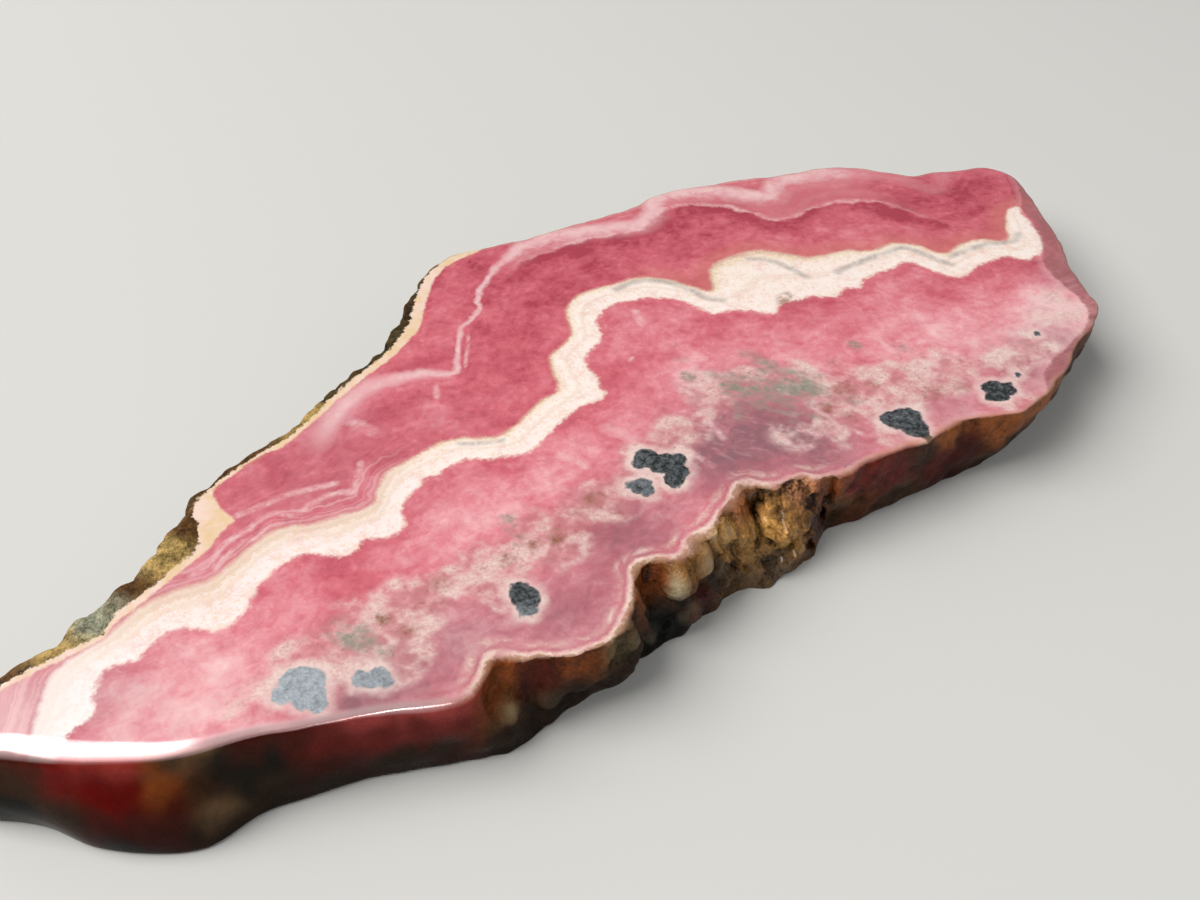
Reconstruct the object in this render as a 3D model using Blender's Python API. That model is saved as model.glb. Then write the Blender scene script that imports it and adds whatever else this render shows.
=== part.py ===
"""Rhodochrosite slice: one sawn and polished slab of banded stone with its natural skin around the wall."""
import bpy
import bmesh
import math
import numpy as np
from mathutils import Vector, noise

# Driving dimensions in millimetres; the model itself is in metres.
MM = 0.001
THICKNESS = 6.5
SEGMENTS = 400                # stations around the wall
LEVELS = (0.06, 0.15, 0.26, 0.38, 0.50, 0.62, 0.74, 0.85, 0.94)    # rings in the wall, as shares of the depth
CENTRE_X = 0.58               # brings the middle of the slab's box onto the origin
CENTRE_Y = -0.1
SPAN_STEPS = 12               # points worked out between two rows of the outline
NORMAL_REACH = 5              # stations on each side that set the outward direction

RIM_ROUND = 0.25              # how far the upper edge draws in where the stone is polished
SKIN_COARSE = 0.55            # slow waves of the crust
SKIN_COARSE_SIZE = 3.6
SKIN_KNOBS = 1.0              # rounded knobs of the crust
SKIN_KNOB_SIZE = 1.9
SKIN_KNOB_MEAN = 0.6          # keeps the knobs centred on the wall
SKIN_AT_RIM = 0.3             # share of the crust's relief that reaches the upper edge
SKIN_AT_FOOT = 0.5

# The wall, counter-clockwise seen from above. Each row: x and y of the upper edge, how far the foot lies
# from it in x and y, how much the wall swells halfway down, and how rough the skin is from 0 to 1.
NOSE = [
    (-51.7, -6.3, -0.9, -0.9, 0.6, 0.15),
    (-50.0, -7.9, -0.6, -1.2, 0.9, 0.10),
    (-47.6, -9.7, -0.4, -1.6, 1.1, 0.05),
    (-45.0, -11.6, -0.9, -2.8, 1.1, 0.05),
    (-42.0, -13.5, -1.2, -3.2, 1.1, 0.05),
    (-39.3, -15.0, -1.0, -3.1, 0.9, 0.10),
    (-36.0, -16.1, -0.7, -1.6, 0.6, 0.15),
    (-33.0, -17.4, -0.3, -0.9, 0.5, 0.10),
    (-29.5, -18.8, 0.0, -0.4, 0.4, 0.10),
    (-26.0, -20.5, 0.0, -0.1, 0.3, 0.15),
    (-24.2, -21.1, 0.0, -0.1, 0.2, 0.35),
]
STEPPED_NOTCH = [
    (-22.9, -20.8, -0.2, -0.8, 0.1, 0.6),
    (-21.9, -19.7, 0.0, -2.3, 0.0, 0.6),
    (-21.2, -19.1, 0.2, -2.9, 0.0, 0.5),
    (-20.3, -19.6, 0.4, -2.2, 0.0, 0.6),
    (-19.2, -20.7, 0.4, -0.8, 0.0, 0.6),
    (-17.4, -21.8, 0.2, 0.5, 0.0, 0.5),
    (-15.4, -22.1, 0.1, 1.0, 0.2, 0.6),
    (-13.6, -21.9, 0.1, 1.0, 0.4, 0.8),
    (-12.2, -20.9, 0.4, 0.3, 0.4, 0.9),
]
NODULE_NOTCH = [
    (-11.0, -19.6, 0.2, -0.7, 0.2, 0.9),
    (-10.1, -18.3, 0.1, -1.8, 0.0, 0.9),
    (-9.2, -17.7, 0.0, -2.3, 0.0, 0.8),
    (-7.8, -18.1, -0.1, -2.1, 0.0, 0.8),
    (-6.2, -18.7, -0.1, -1.6, 0.2, 0.8),
    (-5.0, -17.8, 0.3, -1.9, 0.2, 0.8),
    (-3.5, -17.7, 0.3, -1.7, 0.2, 0.8),
]
GOLDEN_FACE = [
    (-1.8, -16.9, 0.1, -2.2, 0.1, 0.9),
    (-0.2, -16.3, -0.2, -3.2, 0.2, 1.0),
    (1.6, -15.0, 0.0, -4.8, 0.3, 1.0),
    (2.9, -16.2, 0.5, -3.5, 0.3, 1.0),
    (4.2, -16.9, 0.6, -2.6, 0.3, 1.0),
    (5.8, -17.2, 0.5, -1.8, 0.3, 0.9),
    (7.0, -18.1, 0.4, -0.1, 0.2, 0.7),
]
RED_WALL = [
    (8.8, -18.6, 0.0, 0.7, 0.1, 0.45),
    (12.0, -18.6, -0.1, 0.0, 0.2, 0.4),
    (14.8, -18.9, 0.0, 0.3, 0.2, 0.4),
    (16.1, -19.4, 0.0, 0.7, 0.1, 0.4),
    (17.6, -19.0, 0.0, 0.2, 0.2, 0.4),
    (19.2, -18.9, 0.0, 0.0, 0.2, 0.4),
    (22.0, -19.8, -0.1, 0.9, 0.2, 0.4),
    (24.6, -21.0, -0.4, 2.0, 0.2, 0.35),
    (28.0, -20.4, -0.6, 1.9, 0.3, 0.3),
    (32.0, -19.0, -0.8, 1.8, 0.3, 0.3),
    (34.4, -17.7, -0.8, 1.5, 0.3, 0.35),
    (38.4, -16.2, -1.1, 1.3, 0.3, 0.3),
]
FAR_END = [
    (40.9, -14.7, -1.3, 1.1, 0.3, 0.3),
    (42.0, -12.2, -1.2, 0.9, 0.3, 0.25),
    (43.7, -9.0, -1.4, 0.6, 0.3, 0.25),
    (46.3, -5.6, -1.5, 0.5, 0.3, 0.25),
    (48.4, -1.8, -1.5, 0.3, 0.3, 0.25),
    (50.5, 2.1, -1.5, 0.2, 0.3, 0.25),
    (51.5, 4.6, -1.2, 0.0, 0.3, 0.2),
    (51.4, 6.5, -1.0, -0.3, 0.3, 0.2),
    (50.2, 8.0, -0.8, -0.6, 0.2, 0.25),
]
BACK_EDGE = [
    (48.0, 8.6, -0.4, -0.8, 0.2, 0.3),
    (45.6, 9.7, -0.4, -0.8, 0.2, 0.3),
    (43.1, 10.4, -0.4, -0.7, 0.2, 0.35),
    (41.6, 12.3, -0.6, -0.7, 0.2, 0.35),
    (39.2, 15.0, -0.4, -0.8, 0.2, 0.35),
    (36.2, 16.6, -0.2, -0.9, 0.3, 0.35),
    (32.0, 17.6, -0.1, -0.8, 0.3, 0.35),
    (28.0, 19.1, 0.0, -0.7, 0.3, 0.35),
    (25.0, 19.9, 0.0, -0.7, 0.3, 0.35),
    (22.2, 20.8, 0.0, -0.7, 0.3, 0.35),
    (19.4, 21.0, 0.0, -0.6, 0.3, 0.4),
    (16.4, 20.4, 0.1, -0.4, 0.3, 0.4),
    (12.0, 20.6, 0.0, -0.5, 0.3, 0.4),
    (6.5, 21.2, 0.0, -0.4, 0.3, 0.4),
    (2.0, 21.6, 0.0, -0.3, 0.3, 0.45),
    (-0.9, 22.3, 0.0, -0.4, 0.2, 0.45),
    (-3.3, 21.9, 0.0, -0.2, 0.2, 0.5),
]
CRUSTED_BACK = [
    (-5.4, 20.5, -0.2, 0.1, 0.4, 0.6),
    (-7.6, 18.0, -0.4, 0.4, 0.4, 0.7),
    (-9.6, 15.3, -0.6, 0.6, 0.5, 0.8),
    (-12.0, 13.2, -0.7, 0.8, 0.5, 0.9),
    (-14.6, 11.4, -0.6, 0.8, 0.5, 0.8),
    (-18.0, 9.8, -0.4, 0.8, 0.5, 0.8),
    (-20.6, 8.4, -0.5, 0.9, 0.5, 0.8),
    (-23.2, 7.0, -0.3, 0.8, 0.4, 0.7),
    (-27.0, 6.0, -0.2, 0.8, 0.4, 0.6),
    (-30.2, 4.8, -0.4, 0.9, 0.4, 0.6),
    (-32.0, 3.7, -0.7, 1.0, 0.4, 0.7),
    (-33.3, 2.1, -0.9, 0.9, 0.3, 0.9),
    (-35.3, 0.8, -0.9, 1.1, 0.3, 0.9),
    (-36.8, -0.8, -1.2, 1.2, 0.4, 0.9),
    (-39.2, -2.1, -1.2, 1.1, 0.4, 0.8),
    (-40.9, -3.1, -1.2, 1.1, 0.5, 0.8),
    (-43.0, -4.0, -1.2, 0.9, 0.4, 0.7),
    (-46.8, -4.8, -1.2, 0.8, 0.3, 0.6),
    (-50.2, -5.3, -1.4, 0.0, 0.4, 0.35),
]
WALL = NOSE + STEPPED_NOTCH + NODULE_NOTCH + GOLDEN_FACE + RED_WALL + FAR_END + BACK_EDGE + CRUSTED_BACK

# Knobs that stand out singly: centre x, y and z, radius, and how far each is pushed out (or in, if negative).
KNOBS = [
    (-21.0, -20.8, 3.0, 1.7, 0.9),      # tan lump that fills the stepped notch
    (-21.2, -21.6, 0.8, 1.6, 0.5),
    (-12.3, -21.4, 4.4, 1.2, 0.6),      # beads at the corner beside the deep notch
    (-13.6, -21.7, 2.2, 1.5, 0.5),
    (-6.9, -19.2, 3.9, 1.5, 1.1),       # pale nodule in the deep notch
    (-4.7, -18.9, 5.0, 1.3, 0.8),       # its long neighbour under the rim
    (-8.6, -19.4, 1.4, 1.6, 0.6),
    (-2.2, -19.0, 2.6, 1.6, 0.6),       # coarse lumps of the golden face
    (0.6, -18.3, 3.6, 1.5, 0.6),
    (3.4, -18.6, 2.2, 1.8, 0.7),
    (1.4, -20.0, 1.0, 1.7, 0.6),
    (2.2, -16.6, 5.2, 1.2, -0.5),
    (5.6, -18.0, 4.6, 1.5, 0.6),
    (6.6, -18.7, 1.6, 1.4, 0.4),
    (8.6, -18.0, 1.4, 1.3, -0.5),
    (-34.9, 1.0, 4.6, 1.8, 0.4),        # ochre lump behind the cream rim
    (-37.8, -0.6, 4.6, 1.6, 0.4),
    (-41.6, -3.0, 4.8, 1.9, 0.5),       # grey-green lump
    (-45.2, -4.2, 4.4, 1.5, 0.6),
    (-11.0, 15.0, 4.0, 1.7, 0.5),
    (-20.2, 9.4, 3.6, 1.8, 0.5),
]


def remove_default_objects():
    for item in list(bpy.data.objects):
        bpy.data.objects.remove(item, do_unlink=True)


def polished_stone():
    material = bpy.data.materials.new("banded_rhodochrosite")
    material.use_nodes = True
    shader = material.node_tree.nodes["Principled BSDF"]
    shader.inputs["Base Color"].default_value = (0.62, 0.16, 0.18, 1.0)
    shader.inputs["Roughness"].default_value = 0.15
    shader.inputs["Metallic"].default_value = 0.0
    return material


def smooth_rows(rows):
    """A closed smooth curve through the rows (Catmull-Rom), on every column at once."""
    rows = np.array(rows)
    before, after, beyond = (np.roll(rows, shift, axis=0) for shift in (1, -1, -2))
    steps = []
    for step in range(SPAN_STEPS):
        t = step / SPAN_STEPS
        steps.append(0.5 * (2 * rows + (after - before) * t
                            + (2 * before - 5 * rows + 4 * after - beyond) * t ** 2
                            + (3 * rows - before - 3 * after + beyond) * t ** 3))
    return np.stack(steps, axis=1).reshape(-1, rows.shape[1])


def even_stations(curve, count):
    """The same curve at evenly spaced places along its length."""
    closed = np.vstack([curve, curve[:1]])
    lengths = np.hypot(*np.diff(closed[:, :2], axis=0).T)
    along = np.concatenate([[0.0], np.cumsum(lengths)])
    places = np.linspace(0.0, along[-1], count, endpoint=False)
    return np.stack([np.interp(places, along, column) for column in closed.T], axis=1)


def outward_normals(stations):
    ahead = np.roll(stations[:, :2], -NORMAL_REACH, axis=0)
    behind = np.roll(stations[:, :2], NORMAL_REACH, axis=0)
    along = ahead - behind
    along /= np.linalg.norm(along, axis=1, keepdims=True)
    return np.stack([along[:, 1], -along[:, 0]], axis=1)


def knob_push(place):
    """How far the single knobs push the wall out at a place."""
    push = 0.0
    for x, y, z, radius, height in KNOBS:
        away = (place - Vector((x, y, z))).length / radius
        if away < 1.0:
            push += height * (1.0 - away ** 2)
    return push


def skin_relief(place, roughness, depth):
    """Waves and rounded knobs of the natural skin, weaker at both flat faces."""
    waves = noise.noise(place / SKIN_COARSE_SIZE)
    knobs = SKIN_KNOB_MEAN - noise.noise(place / SKIN_KNOB_SIZE, noise_basis="VORONOI_F1")
    relief = roughness * (SKIN_COARSE * waves + SKIN_KNOBS * knobs)
    edge = SKIN_AT_RIM + (SKIN_AT_FOOT - SKIN_AT_RIM) * depth
    return relief * (edge + (1.0 - edge) * math.sin(math.pi * depth))


def wall_point(station, normal, depth):
    """A point of the wall; depth runs from 0 at the upper face to 1 at the lower one."""
    x, y, foot_x, foot_y, swell, roughness = station
    z = THICKNESS * (1.0 - depth)
    place = Vector((x + foot_x * depth, y + foot_y * depth, z))
    out = Vector((normal[0], normal[1], 0.0))
    push = swell * 4.0 * depth * (1.0 - depth) + skin_relief(place, roughness, depth) + knob_push(place)
    if depth == 0.0:
        push -= RIM_ROUND * (1.0 - roughness)
    place += out * push
    return Vector((place.x + CENTRE_X, place.y + CENTRE_Y, z)) * MM


def slab_mesh(name):
    """A cylinder cut into rings, then each ring drawn to the slab's own outline at its level."""
    stations = even_stations(smooth_rows(WALL), SEGMENTS)
    normals = outward_normals(stations)
    shape = bmesh.new()
    bmesh.ops.create_cone(shape, cap_ends=True, cap_tris=False, segments=SEGMENTS,
                          radius1=1.0, radius2=1.0, depth=1.0)
    for level in LEVELS:
        everything = shape.verts[:] + shape.edges[:] + shape.faces[:]
        bmesh.ops.bisect_plane(shape, geom=everything, dist=1e-6,
                               plane_co=(0.0, 0.0, 0.5 - level), plane_no=(0.0, 0.0, 1.0))
    for vertex in shape.verts:
        turn = math.atan2(vertex.co.y, vertex.co.x) / math.tau
        index = round(turn * SEGMENTS) % SEGMENTS
        depth = round(0.5 - vertex.co.z, 4)
        vertex.co = wall_point(stations[index], normals[index], depth)
    for face in shape.faces:
        face.smooth = True
        if len(face.verts) == SEGMENTS:      # the two flat faces keep a crisp rim
            for edge in face.edges:
                edge.smooth = False
    mesh = bpy.data.meshes.new(name)
    shape.to_mesh(mesh)
    shape.free()
    return mesh


def build_slice():
    parts = bpy.data.collections.new("rhodochrosite slice")
    bpy.context.scene.collection.children.link(parts)
    slab = bpy.data.objects.new("rhodochrosite_slice", slab_mesh("rhodochrosite_slice"))
    parts.objects.link(slab)
    slab.data.materials.append(polished_stone())


remove_default_objects()
build_slice()
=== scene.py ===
import math
import bpy
import bmesh
import numpy as np
from mathutils import Matrix, Vector, kdtree, noise


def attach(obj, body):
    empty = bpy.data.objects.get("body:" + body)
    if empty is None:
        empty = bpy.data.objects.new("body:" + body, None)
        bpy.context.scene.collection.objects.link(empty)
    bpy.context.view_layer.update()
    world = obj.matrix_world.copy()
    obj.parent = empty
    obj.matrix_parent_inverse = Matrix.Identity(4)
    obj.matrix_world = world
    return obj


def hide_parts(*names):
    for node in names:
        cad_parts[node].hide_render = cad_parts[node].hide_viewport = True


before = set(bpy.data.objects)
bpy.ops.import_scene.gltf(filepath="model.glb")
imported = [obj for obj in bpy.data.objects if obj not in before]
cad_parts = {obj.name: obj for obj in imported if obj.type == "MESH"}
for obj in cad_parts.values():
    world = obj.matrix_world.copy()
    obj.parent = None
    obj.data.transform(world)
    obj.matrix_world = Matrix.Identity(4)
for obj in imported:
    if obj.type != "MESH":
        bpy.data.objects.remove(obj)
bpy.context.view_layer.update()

mm = 0.001
bodyShift = np.array((0.58, -0.10))     # from the marks on the stone, in mm, to the row frame


# camera, light and table

studio = {
    "cameraPlace": (-0.04044, -0.06247, 0.066),
    "cameraTurn": (48, 0, -33),
    "lens": 36,
    "sensorWidth": 36,
    "nearestSeen": 0.001,
    "tableReach": 1.5,
    "tableTone": (0.62, 0.62, 0.60),
    "tableRoughness": 0.85,
    "roomTone": (0.93, 0.96, 1.0),
    "roomStrength": 0.18,
    # name, direction from the stone, distance, size, watts, colour
    "lamps": (
        ("keyPanel", (-0.54, 0.26, 0.80), 1.00, (0.80, 0.80), 11.6, (1.0, 0.975, 0.94)),
        ("backWindow", (-0.35, 0.80, 0.49), 1.00, (0.60, 0.60), 1.6, (0.93, 0.96, 1.0)),
        ("frontGlint", (-0.36, -0.59, 0.72), 0.60, (0.16, 0.10), 0.55, (1.0, 0.98, 0.95)),
        ("rightFill", (0.75, -0.45, 0.48), 1.00, (0.60, 0.60), 0.40, (1.0, 0.97, 0.94)),
    ),
}


def placeInScene(name, data):
    made = bpy.data.objects.new(name, data)
    bpy.context.scene.collection.objects.link(made)
    return made


def placeCamera():
    lens = bpy.data.cameras.new("camera")
    lens.lens, lens.sensor_width = studio["lens"], studio["sensorWidth"]
    lens.clip_start = studio["nearestSeen"]
    camera = placeInScene("camera", lens)
    camera.location = studio["cameraPlace"]
    camera.rotation_euler = [math.radians(turn) for turn in studio["cameraTurn"]]
    bpy.context.scene.camera = camera


def hangLamps():
    for name, direction, distance, size, watts, tone in studio["lamps"]:
        light = bpy.data.lights.new(name, "AREA")
        light.shape, light.energy, light.color = "RECTANGLE", watts, tone
        light.size, light.size_y = size
        lamp = placeInScene(name, light)
        away = Vector(direction).normalized()
        lamp.location = away * distance
        lamp.rotation_euler = away.to_track_quat("Z", "Y").to_euler()


def lightRoom():
    world = bpy.data.worlds.new("paleRoom")
    world.use_nodes = True
    room = world.node_tree.nodes["Background"]
    room.inputs["Color"].default_value = (*studio["roomTone"], 1)
    room.inputs["Strength"].default_value = studio["roomStrength"]
    bpy.context.scene.world = world


def layTable():
    tableTop = bmesh.new()
    bmesh.ops.create_grid(tableTop, x_segments=4, y_segments=4, size=studio["tableReach"])
    mesh = bpy.data.meshes.new("tableTop")
    tableTop.to_mesh(mesh)
    tableTop.free()
    paint = bpy.data.materials.new("palePaper")
    paint.use_nodes = True
    shader = paint.node_tree.nodes["Principled BSDF"]
    shader.inputs["Base Color"].default_value = (*studio["tableTone"], 1)
    shader.inputs["Roughness"].default_value = studio["tableRoughness"]
    mesh.materials.append(paint)
    table = placeInScene("tableTop", mesh)


def setUpStudio():
    bpy.context.scene.view_settings.view_transform = "Standard"
    placeCamera()
    hangLamps()
    lightRoom()
    layTable()


# marks on the stone, in mm, drawn from the left tip towards the far end

# the saw-toothed foot of the white band, and its smoother head
bandFoot = (
    (-52, -20), (-48.5, -15.5), (-46.3, -12.5), (-44.9, -10.9), (-43.2, -10.2), (-42.9, -9), (-42, -7.5),
    (-41, -7.2), (-39.8, -7.6), (-38.5, -6.8), (-37, -6.5), (-35.8, -7.2), (-34.8, -8), (-33.5, -8),
    (-32.5, -7.3), (-31.5, -6.2), (-30, -5.2), (-28.5, -4.8), (-27.3, -4.9), (-26, -6), (-25, -6.6),
    (-23.5, -5.8), (-22.5, -6.3), (-21.5, -6.5), (-20.6, -6), (-20.3, -5), (-19.6, -3.9), (-18, -3.1),
    (-17.3, -2.5), (-16.4, -2.7), (-15, -2.4), (-13.8, -2.4), (-12.6, -3.2), (-11, -3.8), (-9.9, -4.2),
    (-8.5, -3.9), (-7, -3.2), (-5, -2.3), (-3.5, -1.9), (-1.3, -1.9), (-1.1, -0.8), (-0.6, 0.3),
    (-0.5, 1.8), (-0.2, 3), (0.7, 3.6), (1.8, 4.1), (2.6, 4.7), (3.1, 5.8), (3.5, 6.8), (4.5, 7.6),
    (5.6, 8.1), (7, 8), (8, 7.6), (9, 7.4), (10, 6.7), (11, 5.9), (11.6, 4.8), (12, 3.5), (12.4, 2.4),
    (13.4, 2.1), (14.5, 1.6), (15.5, 0.8), (16.2, 0), (17, -0.4), (18.3, 0.4), (20, -0.1), (21.3, -0.2),
    (22, -0.9), (23, -1.4), (24.3, -0.9), (25.5, -1.5), (26.5, -0.8), (28, -0.6), (30, -0.8), (31.5, -0.6),
    (32.3, -1.5), (32.8, -3), (33.5, -4.6), (34.5, -5.2), (36.5, -4.7), (38.5, -4.7), (40, -5), (41, -6.3),
    (42, -6.4), (43.5, -6.1), (44.5, -5.2), (45.5, -3.5), (46.3, -1.8), (46.9, -0.3), (48.3, 1.6),
    (49.6, 3.4), (51, 5.2), (54, 8),
)
bandHead = (
    (-54, -16), (-50, -14), (-48, -12), (-46.6, -9.5), (-45.6, -7.5), (-44.6, -6), (-43.2, -5.2),
    (-41, -4.7), (-38.5, -3.4), (-36, -3.1), (-34, -3.4), (-32, -2.9), (-31, -2.3), (-29.5, -1.8),
    (-28.3, -1.5), (-27, -1.8), (-26, -2.3), (-24, -2.6), (-21.7, -2.9), (-21, -2), (-20, -0.9),
    (-19, -0.3), (-17.5, -0.2), (-15, 0.3), (-13, -0.1), (-12, -0.8), (-11, -1.3), (-10, -1.4), (-9, -1),
    (-7, -0.2), (-5.8, 0.4), (-4.5, 0.6), (-3.8, 1.2), (-3.4, 2.3), (-3, 3.4), (-2.4, 4.7), (-1.4, 5.3),
    (0, 5.9), (1, 6.8), (1.6, 8.2), (2.1, 9.4), (2.8, 10.2), (3.7, 10.7), (5, 11), (8, 10.7), (9.5, 10.6),
    (10.5, 10.2), (11.5, 9.4), (12.3, 8.6), (13, 7.4), (13.6, 6.2), (14.3, 5.3), (14.9, 5.7), (15.4, 6.8),
    (16.1, 7.8), (17.2, 8.4), (18.6, 8.6), (20, 8.5), (21.5, 8.3), (22.6, 7.4), (23.5, 6.3), (24.5, 5.2),
    (25.5, 4.5), (27, 4.1), (28.8, 3.6), (30, 2.6), (31.5, 2.3), (33, 2.2), (34, 1.4), (34.8, 0.4),
    (35.2, -0.8), (35.8, -1.6), (37, -1.4), (38.5, -1.2), (40, -1.5), (41.3, -2.6), (42.3, -2.9),
    (43.3, -1.7), (44.3, -0.8), (45.6, 0.3), (46.7, 0.7), (47.8, 0.4), (49.5, -0.8), (52, -3),
)
# the thin pale line that runs near the back, with its width from place to place
paleLine = (
    (-40, 1), (-33, 2.4), (-27, 3.4), (-23, 4.9), (-20.5, 7), (-18.5, 8.3), (-17, 9), (-15.5, 9.2),
    (-12.5, 8.6), (-11, 7.8), (-9.9, 7.1), (-9, 8), (-8.2, 9.5), (-7.2, 11), (-6.3, 12.2), (-5, 13),
    (-3.7, 13.9), (-3.5, 14.7), (-2.8, 15.8), (-1.5, 17), (0, 18.2), (1.5, 19), (3, 19.8), (4.5, 20.3),
    (7, 20.2), (10, 19.5), (13, 18.5), (14.5, 17.8), (15.8, 17.8), (17.3, 18.6), (18.4, 19.8), (19.5, 20.6),
    (22, 20.3), (24.8, 18.8), (26, 17.8), (27.5, 16.2), (28.8, 15.2), (30.5, 16.5), (32, 16.6), (34, 16),
    (36, 15.6), (38, 14.5), (39.5, 13.3), (41, 11.5), (42, 9.8), (42.4, 8.2), (43.2, 7), (44.5, 7.7),
    (46, 9), (49, 12),
)
paleWidths = ((-24, 1.0), (-17, 1.0), (-12, 0.7), (-9.5, 0.28), (-3, 0.26), (1, 0.4), (4, 0.8), (10, 1.0),
              (20, 0.95), (30, 1.0), (40, 1.1), (46, 0.9))
# the soft edge where the dusky layers below the pale line turn crimson
duskyLine = (
    (1, 16.8), (3, 18.1), (6, 18.2), (10, 17.9), (13, 17.2), (15, 16.9), (16.5, 17.8), (18, 18.3),
    (20, 18.2), (22, 17.4), (24, 15.6), (25.3, 13.2), (26.4, 11.3), (28, 10.6), (30, 11), (32, 10.8),
    (34, 10.2), (36, 9), (37.3, 7.4), (38.3, 5), (39, 3),
)
# where the crust gives way to the cream rim, and the cream rim to the rose stone
crustLine = (
    (-56, -6.4), (-51.5, -5.8), (-48, -5.1), (-45, -4.75), (-43.8, -4.65), (-42.5, -4.5), (-41, -4.4),
    (-40.2, -3.7), (-39.4, -3.1), (-38, -2.5), (-36.5, -1.9), (-35, -1.2), (-34, -0.9), (-33.4, -0.4),
    (-32.9, 0.6), (-32.6, 1.8), (-32.6, 2.8), (-32.4, 3.4), (-31.9, 4), (-31, 4.6), (-30.2, 5), (-29, 5.5),
    (-27, 6.25), (-25.5, 6.6), (-24, 6.9), (-22.5, 7.6), (-21.2, 8.3), (-20.2, 8.9), (-19, 9.7),
    (-17.3, 10.6), (-16.3, 11), (-14.8, 11.7), (-13.3, 12.4), (-12.3, 13), (-11.3, 13.8), (-10.2, 14.7),
    (-9, 16.2), (-7.7, 18.1), (-6.3, 19.7), (-4.8, 21.1), (-3.4, 21.8), (-2, 22.6), (0, 23.4), (3, 23.6),
    (10, 23.6),
)
creamLine = (
    (-56, -6.8), (-51.5, -6.2), (-47.5, -5.6), (-45.5, -5.3), (-43, -5.2), (-41, -4.9), (-40.4, -4.4),
    (-39.5, -3.9), (-38, -3.3), (-36.5, -2.7), (-35, -2), (-33.5, -1.4), (-32.5, -0.9), (-31.8, -0.2),
    (-30.8, 0.4), (-30.2, 0.7), (-30.4, 1.6), (-30.6, 2.6), (-30.55, 3.6), (-30.45, 4.4), (-29.9, 4.75),
    (-29, 5), (-27.5, 5.7), (-26, 6.1), (-25, 6), (-23.5, 6.5), (-22, 7.3), (-20.5, 8), (-19, 8.9),
    (-17.5, 9.6), (-16, 10.3), (-14.5, 10.9), (-13.2, 11.4), (-12, 12.1), (-10.8, 12.9), (-9.3, 13.9),
    (-8.4, 15.2), (-7.3, 16.7), (-6, 18.5), (-4.6, 20), (-3.2, 20.9), (-1.8, 21.3), (-0.6, 21.45),
    (0.6, 21.6), (1.6, 22.2), (4, 23), (10, 23.4),
)
# the dusky strip outside the last layer at the far end
farLine = (
    (26, -23), (29.5, -18.6), (32, -17.6), (35, -16.8), (37.5, -16), (39.2, -14.8), (40.2, -12.8),
    (40.6, -11), (41.1, -9), (42.1, -7.2), (43.8, -5.7), (45.3, -3.8), (46.5, -1.8), (47.3, -0.1),
    (49, 1.6), (50.4, 3.2), (51.8, 5.5), (54, 9),
)

# soft clouds of tone: x, y, reach, more red, more mauve
toneClouds = (
    (-24, 2.5, 8, 0, 0.22), (-20, 7.5, 3, -0.14, 0.15), (-46, -7, 5, -0.3, 0.35), (-37, -2, 4, -0.04, 0.25),
    (-13, 2.5, 4, -0.08, 0.08), (-16, 5.8, 2, 0.1, 0), (-5, 8, 6, 0.06, 0), (-2.5, 9.5, 3, 0.04, 0),
    (-2, 19, 4, 0.12, 0), (6, 14.5, 6, 0.18, 0), (20, 13.5, 5, 0.16, 0), (31, 8, 4, -0.08, 0),
    (37, 7, 3, 0.28, 0), (30, 12.5, 4, 0.1, 0), (44, 3.5, 5, 0.2, 0), (48, 6, 4, 0.1, 0),
    (41.5, 9, 3, 0.08, 0), (-38, -12, 6, -0.30, 0.04), (-42, -8.5, 3, -0.02, 0.15),
    (-44.5, -10.5, 2.2, 0.18, 0.1), (-25, -8.3, 3, 0.15, 0), (-20, -9.5, 3, -0.12, 0),
    (-9, -7.5, 3, -0.1, 0), (1, -1, 4, 0.1, 0), (6, -4.5, 3.5, -0.15, 0), (12, 0, 3, 0.1, 0),
    (20, -1.8, 2.5, 0.22, 0.05), (25, -9, 4, -0.12, 0), (28, -12.5, 4, -0.2, 0), (31, -5, 4, 0.1, 0),
    (39, -7, 3, 0.2, 0), (37, -12.5, 4, -0.4, 0), (-16, -8.3, 2.6, -0.14, 0),
    (-21.6, -17, 2.4, -0.2, -0.15), (-33.6, -1.6, 2, -0.12, 0), (-23.5, -1, 2.6, -0.08, 0),
    (-29.4, 0.2, 2, -0.06, 0), (-33.8, -9.6, 3, -0.06, 0), (38, -13.5, 2.5, -0.15, -0.2),
    (-29, -18.5, 4, -0.05, 0.9), (-22, -17, 4, 0, 0.6), (-15, -19, 4, 0, 0.6), (-8, -15, 4, 0.05, 0.75),
    (1, -12.5, 4, 0.1, 0.75), (7, -11, 5, 0, 0.75), (9, -16, 4, 0.05, 0.6), (20, -17.5, 4, -0.1, 0.4),
    (29, -18, 4, -0.1, 0.5), (35, -16.5, 3, -0.15, 0.45), (42, -10, 3, -0.05, 0.4),
    (45.5, -4.5, 2.5, 0, 0.4),
)
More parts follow.
